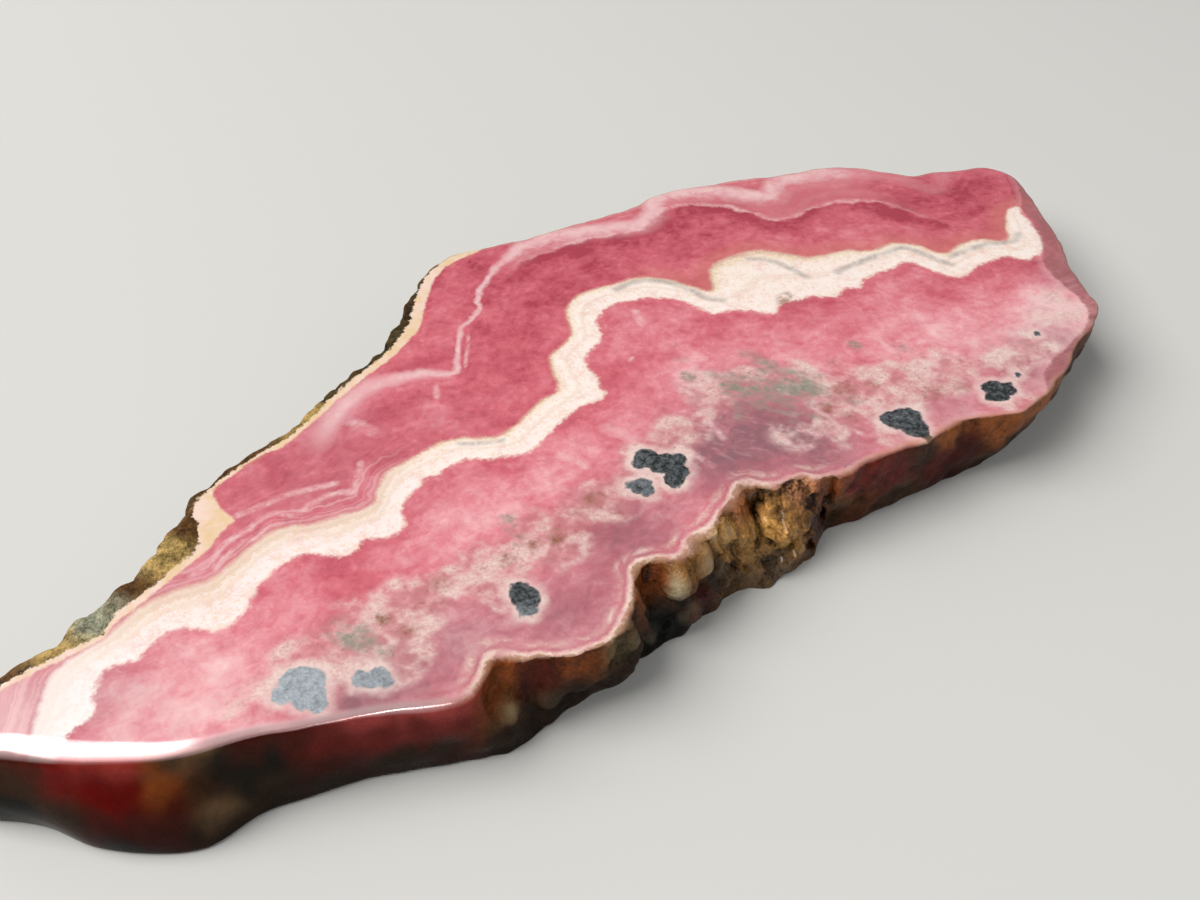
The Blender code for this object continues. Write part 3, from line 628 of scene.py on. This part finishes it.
def closeFace(shell, layout, upward):
    # fills one flat face with an even grid, joined to the rim by a strip of triangles
    z = sliceBody["thickness"] * mm if upward else 0.0
    step = sliceBody["faceStep" if upward else "underStep"] * mm

    def isLevel(corner):
        return abs(corner.co.z - z) < sliceBody["levelSlack"]

    before = set(shell.faces)
    rim = [corner for corner in shell.verts if corner.is_boundary and isLevel(corner)]
    outward = [Vector((corner.normal.x, corner.normal.y, 0)) for corner in rim]
    tree = treeOf([corner.co for corner in rim])
    low = Vector([min(corner.co[axis] for corner in rim) for axis in range(3)])
    high = Vector([max(corner.co[axis] for corner in rim) for axis in range(3)])
    span = high - low
    spread = Matrix.Translation((low + high) / 2) @ Matrix.Diagonal((span.x, span.y, 1, 1))
    grid = bmesh.ops.create_grid(shell, x_segments=round(span.x / step), y_segments=round(span.y / step),
                                 size=0.5, matrix=spread)["verts"]
    outside = []
    for corner in grid:
        _, index, away = tree.find(corner.co)
        if away < sliceBody["rimStrip"] * step or (corner.co - rim[index].co).dot(outward[index]) > 0:
            outside.append(corner)
    bmesh.ops.delete(shell, geom=outside, context="VERTS")
    bmesh.ops.delete(shell, geom=[corner for corner in shell.verts if not corner.link_faces], context="VERTS")
    bmesh.ops.delete(shell, geom=[edge for edge in shell.edges if not edge.link_faces], context="EDGES")
    borders = [edge for edge in shell.edges
               if edge.is_boundary and all(isLevel(corner) for corner in edge.verts)]
    bmesh.ops.triangle_fill(shell, use_beauty=True, use_dissolve=False, edges=borders,
                            normal=(0, 0, 1 if upward else -1))
    uvFoot, uvWidth = uvPlan["upperFace" if upward else "lowerFace"]
    for face in shell.faces:
        if face in before:
            continue
        face.smooth = True
        for loop in face.loops:
            across, up = (loop.vert.co.x - low.x) / span.x, (loop.vert.co.y - low.y) / span.x
            loop[layout].uv = (uvPlan["margin"] + uvWidth * across, uvFoot + uvWidth * up)


def buildShell():
    wall, layout = openWall()
    rimTurns = shapeWall(wall, layout)
    layOutWall(wall, layout)
    wall.normal_update()
    closeFace(wall, layout, True)
    closeFace(wall, layout, False)
    bmesh.ops.recalc_face_normals(wall, faces=wall.faces[:])
    openEdges = sum(edge.is_boundary for edge in wall.edges)
    print("stone closed:", len(wall.faces), "faces,", openEdges, "open edges")
    mesh = bpy.data.meshes.new("bandedSlice")
    wall.to_mesh(mesh)
    wall.free()
    return mesh, rimTurns


# what each corner of the stone knows about the marks

marking = {
    "thinnest": 0.05,                # a layer is taken as at least this thick, in mm
    "bandLayers": 1.5,               # layers in the white band
    "upperLayers": 8,                # and above it, up to the pale line
    "redInFront": 0.50,
    "redBehind": 0.68,
    "crustDepth": 0.5,               # how far down from the face the crust's line counts, in mm
    "laceDepth": 1.5,
    "patchCore": 0.7,                # a larger core and a smaller fall blur the patches of skin
    "patchFall": 2.3,
    "patchWaves": (2.2, 0.9),        # size and reach of the waves in the patches' edges
    "patchSeed": 5,                  # keeps the waves the same in every run
    "skinStart": (1.6, 0.5),         # how fast and how far round the rim the skin starts
    "crustiness": 6,
    "shineEnd": (-24, 3),            # the painted highlight on the nose's rounded edge: x where it ends, length of its fade
    "shineBack": -5.5,
    "shineRise": (0.35, 0.3),        # from the face down, in shares of the rounded rings
    "shineFall": (0.95, 0.45),
}


def drawLine(points, spacing, finer=8):
    # a smooth line through the points (Catmull-Rom), at even steps
    points = np.array(points, float)
    points = np.vstack([2 * points[0] - points[1], points, 2 * points[-1] - points[-2]])
    t = np.linspace(0, 1, finer, endpoint=False)[:, None]
    spans = [0.5 * (2 * b + (c - a) * t + (2 * a - 5 * b + 4 * c - d) * t ** 2
                    + (3 * b - a - 3 * c + d) * t ** 3)
             for a, b, c, d in zip(points, points[1:], points[2:], points[3:])]
    fine = np.vstack(spans + [points[-2:-1]])
    along = np.concatenate([[0], np.cumsum(np.hypot(*np.diff(fine, axis=0).T))])
    places = np.arange(0, along[-1], spacing)
    return np.stack([np.interp(places, along, column) for column in fine.T], axis=1)


def nearestOf(drawn, marks):
    tree = treeOf([(x, y, 0) for x, y in drawn])
    return np.array([tree.find((x, y, 0))[1] for x, y in marks])


def reachFrom(line, marks, spacing=0.12):
    # signed distance from a drawn line, in mm: positive on its left, which is towards the back
    drawn = drawLine(line, spacing)
    way = np.gradient(drawn, axis=0)
    way /= np.linalg.norm(way, axis=1, keepdims=True)
    nearest = nearestOf(drawn, marks)
    offset, way = marks - drawn[nearest], way[nearest]
    side = way[:, 0] * offset[:, 1] - way[:, 1] * offset[:, 0]
    along = np.maximum(np.abs((way * offset).sum(axis=1)) - spacing / 2, 0)
    return np.copysign(np.hypot(side, along), side)


def awayFrom(x, y, marks):
    return np.hypot(marks[:, 0] - x, marks[:, 1] - y)


def cloudSums(clouds, marks):
    # soft clouds added up, once for each value that follows their reach
    sums = 0
    for x, y, reach, *values in clouds:
        sums = sums + np.array(values)[:, None] * np.exp(-(awayFrom(x, y, marks) / reach) ** 2)
    return sums


def cloudCover(clouds, marks, power):
    # clouds that cover what lies below them; a higher power gives them a firmer edge
    bare = np.ones(len(marks))
    for x, y, reach, strength in clouds:
        bare *= 1 - strength * np.exp(-(awayFrom(x, y, marks) / reach) ** power)
    return 1 - bare


def nearestStroke(strokes, marks):
    # distance from the nearest stroke, in half widths of that stroke
    return np.min([np.abs(reachFrom(points, marks)) / width for width, *points in strokes], axis=0)


def skinColours(spots):
    # the skin's tone at each place, from the patches round it
    blended, weights = np.zeros((len(spots), 3)), np.zeros((len(spots), 1))
    for x, y, z, tone in skinPatches:
        away = ((spots - (x, y, z)) ** 2).sum(axis=1, keepdims=True)
        weight = 1 / (away + marking["patchCore"]) ** marking["patchFall"]
        blended += weight * skinTones[tone]
        weights += weight
    return blended / weights


def readField(mesh, name):
    values = np.zeros(len(mesh.vertices))
    mesh.attributes[name].data.foreach_get("value", values)
    return values


def patternFields(spots, marks, depth):
    # the drawn marks as distances, shares and strengths
    foot, head, pale = (reachFrom(line, marks) for line in (bandFoot, bandHead, paleLine))
    across = foot / np.maximum(foot - head, marking["thinnest"])
    above = head / np.maximum(head - pale, marking["thinnest"])
    inBand, upTo = marking["bandLayers"], marking["bandLayers"] + marking["upperLayers"]
    moreRed, moreMauve = cloudSums(toneClouds, marks)
    lobes = [awayFrom(x, y, marks) - radius for x, y, radius, _ in oreLobes]
    return {
        "toFoot": foot,
        "toHead": head,
        "toPale": pale,
        "paleWidth": np.interp(marks[:, 0], *np.array(paleWidths).T),
        "across": np.clip(across, 0, 1),
        "layer": np.where(foot < 0, foot, np.where(head < 0, inBand * across, np.where(
            pale < 0, inBand + marking["upperLayers"] * above, upTo + pale))),
        "toDusky": reachFrom(duskyLine, marks),
        "toCrust": np.where(depth > marking["crustDepth"], -5, reachFrom(crustLine, spots[:, :2])),
        "toCream": reachFrom(creamLine, spots[:, :2]),
        "toFar": -reachFrom(farLine, marks),
        "red": np.where(head > 0, marking["redBehind"], marking["redInFront"]) + moreRed,
        "mauve": np.clip(moreMauve, 0, 1),
        "speckle": cloudCover(speckleClouds, marks, 4),
        "haze": cloudCover(hazeClouds, marks, 3),
        "rust": cloudCover(rustClouds, marks, 3),
        "toStroke": nearestStroke(paleStrokes, marks),
        "toGrey": nearestStroke(greyStrokes, marks),
        "toGreen": nearestStroke(greenStrokes, marks),
        "toOre": np.min(lobes, axis=0),
        "orePale": np.array([lobe[3] for lobe in oreLobes])[np.argmin(lobes, axis=0)],
    }


def edgeFields(mesh, spots, depth, rimTurns):
    # where the skin, the rim and the sawn lower face are, and what the nearest rim is like
    turn, down, onWall = (readField(mesh, name) for name in ("skinTurn", "skinDown", "onWall"))
    under, onWall = spots[:, 2] * mm < sliceBody["levelSlack"], onWall > 0.5
    down[under] = down.max()
    rim = np.flatnonzero(onWall & (down < sliceBody["ringSlack"]))
    nearest = rim[nearestOf(spots[rim, :2], spots[:, :2])]
    radius, bead, crystal, lace = (aroundRim(turn[nearest], rimTurns, name) for name in rimColumns[2:])
    down = down / sliceBody["roundedRings"]
    onCurve = radius * (1 - np.sin(np.clip(down, 0, 1) * math.pi / 2))
    inward = np.hypot(*(spots[:, :2] - spots[nearest, :2]).T) + radius
    faster, later = marking["skinStart"]
    skin = np.clip(down * faster - later, 0, 1)
    shineX, fade = marking["shineEnd"]
    # a painted highlight along the rounded edge of the nose, between the face and the wall
    paintedHighlightSpan = np.clip((shineX - spots[:, 0]) / fade, 0, 1) * (spots[:, 1] < marking["shineBack"]) * onWall
    (above, lead), (below, spread) = marking["shineRise"], marking["shineFall"]
    return {
        "toRim": np.where(onWall, onCurve, inward),
        "lace": lace * (depth < marking["laceDepth"]),
        "skin": np.where(onWall & ~under, skin, 0),
        "sawn": under * 1.0,
        "edgeShine": paintedHighlightSpan * np.clip(down / above - lead, 0, 1) * np.clip((below - down) / spread, 0, 1),
        "crusty": np.clip(bead * marking["crustiness"] + crystal, 0, 1),
    }


def markStone(mesh, rimTurns):
    # writes the fields that the stone's material reads, beside those that the wall's shaping left
    spots = np.zeros(len(mesh.vertices) * 3)
    mesh.vertices.foreach_get("co", spots)
    spots = spots.reshape(-1, 3) / mm
    spots[:, :2] -= bodyShift
    depth = sliceBody["thickness"] - spots[:, 2]
    marks = spots[:, :2] + depth[:, None] * sliceBody["slant"]
    fields = patternFields(spots, marks, depth) | edgeFields(mesh, spots, depth, rimTurns)
    for name, values in fields.items():
        mesh.attributes.new(name, "FLOAT", "POINT").data.foreach_set("value", values.astype(np.float32))

    noise.seed_set(marking["patchSeed"])
    size, reach = marking["patchWaves"]
    sway = np.array([noise.noise_vector(Vector(spot) / size) for spot in spots])
    tones = np.ones((len(spots), 4), np.float32)
    tones[:, :3] = skinColours(spots + reach * sway)
    mesh.attributes.new("skinTone", "FLOAT_COLOR", "POINT").data.foreach_set("color", tones.ravel())


# node wiring

class Wire:
    # one output of a node; sums on it add Math nodes
    def __init__(self, tree, socket=None):
        self.tree, self.socket = tree, socket

    def node(self, kind, settings=None, values=None, out=0):
        # any node: its settings first, then the values or wires of its inputs
        made = self.tree.nodes.new(kind)
        for name, value in (settings or {}).items():
            if name == "stops":
                ramp = made.color_ramp.elements
                while len(ramp) < len(value):
                    ramp.new(0.5)
                for stop, (place, tone) in zip(ramp, value):
                    stop.position, stop.color = place, (*tone, 1)
            else:
                setattr(made, name, value)
        for name, value in (values or {}).items():
            if isinstance(value, Wire):
                self.tree.links.new(value.socket, made.inputs[name])
            else:
                made.inputs[name].default_value = value
        return Wire(self.tree, made.outputs[out])

    def math(self, operation, first, second=0.0):
        return self.node("ShaderNodeMath", {"operation": operation}, {0: first, 1: second})

    def __add__(self, other):
        return self.math("ADD", self, other)

    def __sub__(self, other):
        return self.math("SUBTRACT", self, other)

    def __rsub__(self, other):
        return self.math("SUBTRACT", other, self)

    def __mul__(self, other):
        return self.math("MULTIPLY", self, other)

    def __truediv__(self, other):
        return self.math("DIVIDE", self, other)

    def __abs__(self):
        return self.math("ABSOLUTE", self)

    def clamped(self):
        return self.node("ShaderNodeClamp", None, {0: self})

    def larger(self, other):
        return self.math("MAXIMUM", self, other)

    def rise(self, low, high):
        # smoothly from 0 at low to 1 at high
        return self.node("ShaderNodeMapRange", {"interpolation_type": "SMOOTHSTEP"},
                         {"Value": self, "From Min": low, "From Max": high})

    def fall(self, low, high):
        return 1 - self.rise(low, high)

    __radd__, __rmul__ = __add__, __mul__


def mixTones(share, first, second):
    wire = next(item for item in (share, first, second) if isinstance(item, Wire))
    values = {0: share, 6: first, 7: second}
    for key in (6, 7):
        if not isinstance(values[key], Wire):
            values[key] = (*values[key], 1)
    return wire.node("ShaderNodeMix", {"data_type": "RGBA"}, values, out=2)


# the stone's finish

stoneTones = {
    "roseRamp": ((0.0, (0.89, 0.58, 0.58)), (0.25, (0.84, 0.40, 0.43)), (0.45, (0.75, 0.25, 0.295)),
                 (0.65, (0.65, 0.150, 0.19)), (0.85, (0.53, 0.088, 0.125)), (1.0, (0.40, 0.045, 0.075))),
    "whiteRamp": ((0.0, (0.88, 0.66, 0.58)), (0.09, (0.97, 0.85, 0.80)), (0.40, (0.96, 0.83, 0.77)),
                  (0.52, (0.88, 0.72, 0.63)), (0.60, (0.97, 0.86, 0.80)), (0.82, (0.94, 0.80, 0.71)),
                  (0.93, (0.86, 0.70, 0.52)), (1.0, (0.62, 0.44, 0.31))),
    "beigeRamp": ((0.0, (0.90, 0.70, 0.65)), (0.08, (0.98, 0.85, 0.82)), (0.42, (0.95, 0.80, 0.77)),
                  (0.54, (0.84, 0.68, 0.58)), (0.62, (0.92, 0.77, 0.69)), (0.74, (0.76, 0.60, 0.47)),
                  (0.86, (0.84, 0.67, 0.57)), (1.0, (0.66, 0.36, 0.32))),
    "bandCream": (0.86, 0.66, 0.46),
    "mauve": (0.28, 0.125, 0.15),
    "bandGrey": (0.38, 0.35, 0.33),
    "bandWhite": (0.98, 0.92, 0.92),
    "bandPink": (0.80, 0.50, 0.46),
    "palePink": (0.84, 0.54, 0.55),
    "duskyPink": (0.61, 0.195, 0.22),
    "salmon": (0.66, 0.21, 0.17),
    "speckleCream": (0.82, 0.65, 0.60),
    "hollow": (0.40, 0.17, 0.17),
    "speckleRose": (0.62, 0.32, 0.31),
    "speckleRust": (0.30, 0.12, 0.08),
    "haze": (0.36, 0.30, 0.25),
    "hazeGreen": (0.24, 0.25, 0.20),
    "rust": (0.26, 0.11, 0.055),
    "oreDark": (0.040, 0.047, 0.046),
    "orePale": (0.56, 0.61, 0.66),
    "oreSpark": (0.50, 0.50, 0.50),
    "dusk": (0.34, 0.12, 0.125),
    "creamRim": (0.80, 0.58, 0.35),
    "creamPatch": (0.88, 0.67, 0.58),
    "laceBrown": (0.34, 0.16, 0.07),
    "lacePale": (0.86, 0.66, 0.56),
    "amberRim": (0.58, 0.30, 0.17),
    "edgeWhite": (0.94, 0.68, 0.68),
}

# soft noise: lumps for each mm, detail, roughness, sway
stoneNoise = {
    "ripple": (0.8, 2, 0.5, 0),
    "tooth": (1.7, 3, 0.6, 0),
    "grain": (5.0, 3, 0.5, 0),
    "clouds": (0.38, 3, 0.6, 0),
    "veils": (0.85, 4, 0.65, 0.7),
    "streaks": (1.3, 4, 0.62, 0.3),
    "clumps": (0.5, 2, 0.5, 0),
    "gaps": (1.2, 3, 0.5, 0.4),
    "rusty": (1.7, 4, 0.65, 0),
    "oreEdge": (1.3, 2, 0.5, 0),
    "oreSparks": (3.2, 2, 0.5, 0),
    "crags": (1.1, 5, 0.65, 0),
    "lumps": (3.0, 3, 0.5, 0),
    "pits": (8.0, 3, 0.5, 0),
    "polishWaves": (1.4, 2, 0.5, 0),
}
streakTurn, streakStretch = -55, 2.6    # the slanting streaks of the front: degrees, length to width

# roughness of the polish, and what each place adds to it
stoneGloss = {
    "polish": 0.24,
    "speckle": 0.05,
    "haze": 0.12,
    "ore": 0.1,
    "skin": 0.26,
    "crystal": -0.2,
    "crust": 0.25,
    "sawn": 0.3,
    "edgeShine": -0.1,
    "grain": 0.03,
    "skinGrain": 0.2,
}
# how deep the small dents are, in mm
stoneDents = {
    "lumps": 0.16,
    "pits": 0.05,
    "polishWaves": 0.0022,
    "chips": 0.16,
    "oreGrain": 0.02,
    "sawGrain": 0.03,
    "skinGrain": 0.012,
}
# what is the same all over the stone
stoneBody = {
    "IOR": 1.6,
    "Specular IOR Level": 0.03,
    "Coat IOR": 1.6,
    "Coat Roughness": 0.07,
    "Subsurface Weight": 0.12,
    "Subsurface Radius": (1.0, 0.35, 0.3),
    "Subsurface Scale": 0.0008,
}


def bandedStone():
    material = bpy.data.materials.new("bandedStone")
    material.use_nodes = True
    tree = material.node_tree
    shader = tree.nodes["Principled BSDF"]
    start, tones, gloss, dents = Wire(tree), stoneTones, stoneGloss, stoneDents

    def field(name, out="Fac"):
        return start.node("ShaderNodeAttribute", {"attribute_name": name}, out=out)

    def scaled(vector, size):
        return start.node("ShaderNodeVectorMath", {"operation": "SCALE"}, {0: vector, "Scale": size})

    place = scaled(start.node("ShaderNodeTexCoord", out="Object"), 1 / mm)
    along, level = (start.node("ShaderNodeSeparateXYZ", None, {0: place}, out=axis) for axis in "XZ")
    # runs down the slanting streaks of the front
    slanted = start.node("ShaderNodeMapping", {"vector_type": "TEXTURE"},
                         {"Vector": place, "Rotation": (0, 0, math.radians(streakTurn)),
                          "Scale": (streakStretch, 1, 1)})

    def mottle(name, where=place):
        # soft noise around zero
        sizes = dict(zip(("Scale", "Detail", "Roughness", "Distortion"), stoneNoise[name]))
        return start.node("ShaderNodeTexNoise", None, {"Vector": where, **sizes}) - 0.5

    def layering(distance, scale, detail=2.0):
        return start.node("ShaderNodeTexNoise", {"noise_dimensions": "1D"},
                          {"W": distance, "Scale": scale, "Detail": detail, "Roughness": 0.6}) - 0.5

    def ramp(tone, share):
        return share.node("ShaderNodeValToRGB", {"stops": tones[tone]}, {0: share})

    def blend(share, first, second):
        return mixTones(share.clamped(), tones[first], tones[second])

    def coats(colour, *layers):
        # lays tones over a colour one after another, each by its share
        for share, tone in layers:
            colour = mixTones(share, colour, tones[tone] if isinstance(tone, str) else tone)
        return colour

    # wavy edges of the drawn marks
    ripple, tooth, grain, clouds, veils = map(mottle, ("ripple", "tooth", "grain", "clouds", "veils"))
    streaks = mottle("streaks", slanted)
    foot = field("toFoot") + tooth * 1.1 + grain * 0.35
    head = field("toHead") + ripple * 0.6 + grain * 0.35
    layers = layering(field("layer") + ripple * 0.6, 1.0)

    # rose stone, redder close under the white band and below the dusky layers
    toPale = field("toPale") + ripple * 0.7 + tooth * 0.3
    toDusky = field("toDusky") + ripple * 1.2 + tooth * 0.4
    backRight, mauve = along.rise(0, 6), field("mauve")
    red = field("red") + clouds * 0.75 + veils * 0.5 + layers * 0.22 + tooth * 0.2 + grain * 0.14
    red = red + foot.rise(-2.2, -0.1) * foot.fall(0, 0.1) * 0.16
    red = red + toDusky.rise(-3.5, -0.4) * toDusky.fall(-0.4, 0.1) * backRight * 0.2
    glow = head.rise(0, 0.15) * head.fall(0.2, 2.4) * along.rise(9, 14)
    colour = coats(ramp("roseRamp", red),
                   ((mauve * (0.95 + veils * 1.2) + ripple * 0.3).clamped(), "mauve"),
                   (glow * 0.45, "salmon"))

    # thin layers that follow the head of the band at the left
    thin = layering(field("toHead") + ripple * 0.8 + tooth * 0.25, 1.2, 3.0)
    layered = head.rise(0, 0.25) * head.fall(1.5, 4.4) * along.fall(-21, -15)
    tip = along.fall(-47, -43.5) * head.rise(0, 0.5)
    colour = coats(colour,
                   (layered * thin.rise(0.02, 0.2) * 0.7, "palePink"),
                   (layered * thin.fall(-0.2, 0.02) * 0.8, "duskyPink"),
                   (tip * (thin * 3 + 0.75).clamped(), "palePink"))

    # the pale line near the back with its halo, and the dusky layers below it
    farFade = along.fall(36, 41)
    dusky = toDusky.rise(-0.3, 0.5) * toPale.fall(-0.6, 0.2) * backRight * farFade
    edging = toDusky.rise(-0.35, 0.05) * toDusky.fall(0.05, 0.6) * backRight * farFade
    core = abs(toPale / field("paleWidth")).fall(0.1, 1.5) * (veils * 1.2 + clouds * 0.7 + 0.78).clamped()
    halo = toPale.rise(-2.6, -0.3) * toPale.fall(0, 1.2) * along.rise(1, 5) * (veils * 2 + clouds + 0.42)
    colour = coats(colour,
                   (dusky * (layering(toPale, 0.9) * 1.4 + veils + 0.5).clamped(), "duskyPink"),
                   (edging * (veils * 2 + 0.4).clamped(), "palePink"),
                   (core * (farFade * 0.8 + 0.2) * along.rise(-23.5, -19), "palePink"),
                   (halo.clamped() * farFade, "palePink"))

    # pale strokes and flecks, and thin pale streaks in the mauve stone
    strokes = (field("toStroke") + tooth * 1.2).fall(0.0, 1.8) * (veils * 3 + clouds + 0.5).clamped()
    rain = streaks.rise(0.03, 0.2) * mauve * along.rise(-2, 3) * along.fall(19, 24)
    colour = coats(colour, (strokes, "palePink"), (rain * 0.22, "palePink"))

    # speckled cream with darker hollows and rusty grains
    speckle = field("speckle")
    clumps, gaps = mottle("clumps") * 1.5 + streaks * 0.4 + grain * 0.12, mottle("gaps")
    patches = (clumps + gaps * 0.7 + speckle * 0.12).rise(-0.12, 0.4) * speckle.rise(0.02, 0.45)
    hollows = (clumps + gaps * 1.4).fall(-0.34, 0.02) * speckle.rise(0.1, 0.8) * mauve.fall(0.1, 0.8)
    creams = blend(clouds * 1.5 + grain * 2.2 + 0.35, "speckleCream", "speckleRose")
    colour = coats(colour,
                   (speckle.rise(0.3, 1.0) * 0.3, "speckleRose"),
                   (hollows * 0.38, "hollow"),
                   (patches * 0.9, creams),
                   (mottle("rusty").rise(0.06, 0.2) * speckle * 0.5, "speckleRust"))

    # olive haze with its ridges, and rusty specks
    haze = (field("haze") + streaks * 2.2 + tooth * 1.2).rise(0.1, 1.15) * field("haze").rise(0.02, 0.35)
    hazes = blend(tooth * 3.5 + streaks * 2 + 0.45, "haze", "hazeGreen")
    ridge = (field("toGreen") + tooth * 2.4 + grain * 1.5).fall(-0.3, 2.2)
    rust = (field("rust") * (tooth * 4 + 0.9)).clamped()
    colour = coats(colour,
                   (haze * 0.95, hazes),
                   (ridge * (streaks * 3 + tooth + 0.6).clamped() * 0.62, hazes),
                   (rust * 0.85, "rust"))

    # the white band
    across = (field("across") + layers * 0.3 + tooth * 0.28 + grain * 0.2).clamped()
    greyEdge = (field("toGrey") * 0.8 + tooth * 0.8 + grain * 0.6).fall(-0.1, 1.7)
    bands = coats(ramp("whiteRamp", across),
                  (along.fall(-21, -13), ramp("beigeRamp", across)),
                  ((veils * 3.5 + grain * 2 + 0.1).clamped() * 0.65, "bandPink"),
                  ((tooth * 3 + grain * 3 + clouds).clamped() * 0.6, "bandCream"),
                  (along.fall(-46, -36) * 0.6, "bandWhite"),
                  (greyEdge * (veils * 1.5 + 0.62).clamped(), "bandGrey"))
    inBand = foot.rise(-0.32, 0.16) * head.fall(-0.32, 0.22)
    colour = coats(colour, (inBand, bands), (rust * inBand * 0.7, "rust"))

    # the dusky strip at the far end
    far = field("toFar") + ripple * 0.5 + tooth * 0.3
    colour = coats(colour,
                   (far.rise(-0.8, -0.1) * far.fall(0, 0.2) * 0.2, "palePink"),
                   (far.rise(-0.05, 0.3) * (layers + veils + 0.8).clamped(), "dusk"))

    # ore with a pale halo; its pale lobes are a painted reflection
    ore = field("toOre") + mottle("oreEdge") * 0.75 + grain * 0.14
    inOre = ore.fall(-0.12, 0.1)
    ores = coats(blend(field("orePale") + tooth * 1.2 + grain * 0.8, "oreDark", "orePale"),
                 (mottle("oreSparks").rise(0.12, 0.2) * 0.3, "oreSpark"))
    colour = coats(colour,
                   (ore.fall(0.0, 0.9) * (veils * 1.6 + 0.62).clamped(), "speckleCream"),
                   (inOre, ores))

    # lacy lines that follow the notched rim, then the cream rim and the crust of the back
    rim, lace, rough = field("toRim") + ripple * 0.5 + grain * 0.25, field("lace"), field("crusty")
    cream = (field("toCream") + tooth * 0.4 + grain * 0.3).rise(0.0, 0.26)
    creamy = blend(clouds * 3 + veils * 2.5 + 0.45, "creamRim", "creamPatch")
    colour = coats(colour,
                   (lace * rim.fall(0.2, 0.55) * (veils * 2.5 + 0.7).clamped(), "lacePale"),
                   (lace * rim.rise(0.5, 0.9) * rim.fall(0.9, 1.5) * (veils * 3 + 0.2).clamped(), "lacePale"),
                   (rim.fall(0.05, 0.35) * rough * (1 - lace) * 0.75, "amberRim"),
                   (rim.fall(0.02, 0.16) * lace * 0.8, "laceBrown"),
                   (cream, creamy))
    crust = (field("toCrust") + tooth * 0.9 + grain * 0.5).rise(-0.05, 0.12)
    skin = field("skin").larger(crust)

    # skin: patches of tone and crags, with painted shade in the creases between the knobs and towards the
    # foot
    crystal, beadTop, shine = field("crystal"), field("beadTop"), field("edgeShine")
    # the relief adds painted shade: darker in the creases between the knobs
    cragsAndCreviceShade = mottle("crags") * 2.4 + grain * 1.5 + field("skinRelief") * 1.5
    shade = 0.74 + cragsAndCreviceShade * (rough * 0.9 + 0.1).larger(crust) + veils * 0.7
    # painted shade: the wall darker towards its foot
    shade = (shade * (1 - level.fall(0.5, 5.5) * 0.6)).larger(0.06)
    # pale bead tops: partly the beads' own pale tone, partly a painted highlight
    beadPaleAndHighlight = (beadTop * (ripple * 3 + tooth * 2 + 1.2)).clamped()
    skinWithPaintedShadeAndHighlight = coats(scaled(field("skinTone", "Color"), shade), (beadPaleAndHighlight, skinTones["paleBead"]))
    # the nose's rounded edge is painted towards white as a painted highlight
    colour = coats(colour, (skin, skinWithPaintedShadeAndHighlight), (shine * 0.65, "edgeWhite"))

    # the polish lies on the flat face and the rim; the skin is duller, and glints only on its crystals
    sawn = field("sawn")
    dull = gloss["polish"] + patches * gloss["speckle"] + haze * gloss["haze"] + inOre * gloss["ore"]
    dull = dull + skin * rough * (gloss["skin"] + crystal * gloss["crystal"]) + crust * gloss["crust"]
    dull = dull + sawn * gloss["sawn"] + shine * gloss["edgeShine"]
    dull = dull + grain * (skin * gloss["skinGrain"] + gloss["grain"])
    bare = skin * (0.96 - rough * 0.06 - crystal * 0.3 - beadTop * 0.6)
    polish = (1 - bare) * (1 - sawn) * (1 - haze * 0.3)

    chips = start.node("ShaderNodeTexVoronoi", None, {"Vector": place, "Scale": 1.9}, out="Distance")
    height = mottle("lumps") * dents["lumps"] + mottle("pits") * dents["pits"]
    height = height * (skin * rough + crust) + mottle("polishWaves") * dents["polishWaves"]
    height = height - chips * skin * crystal * dents["chips"]
    height = height + inOre * grain * dents["oreGrain"] + sawn * grain * dents["sawGrain"]
    height = height + skin * grain * dents["skinGrain"]

    made = {
        "Base Color": colour,
        "Roughness": dull,
        "Coat Weight": polish,
        # the painted highlight on the nose's edge is also made half metallic so that it reflects
        "Metallic": inOre * (1 - skin) * 0.6 + shine * 0.5,
        "Normal": height.node("ShaderNodeBump", None, {"Strength": 1.0, "Distance": mm, "Height": height}),
    }
    for name, wire in made.items():
        tree.links.new(wire.socket, shader.inputs[name])
    for name, value in stoneBody.items():
        shader.inputs[name].default_value = value
    return material


def makeSlice():
    mesh, rimTurns = buildShell()
    markStone(mesh, rimTurns)
    print("stone marked")
    mesh.materials.append(bandedStone())
    stone = placeInScene("bandedSlice", mesh)
    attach(stone, "root")
    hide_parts(sliceBody["node"])
    return stone


setUpStudio()
print("studio ready")
makeSlice()
print("slice made")
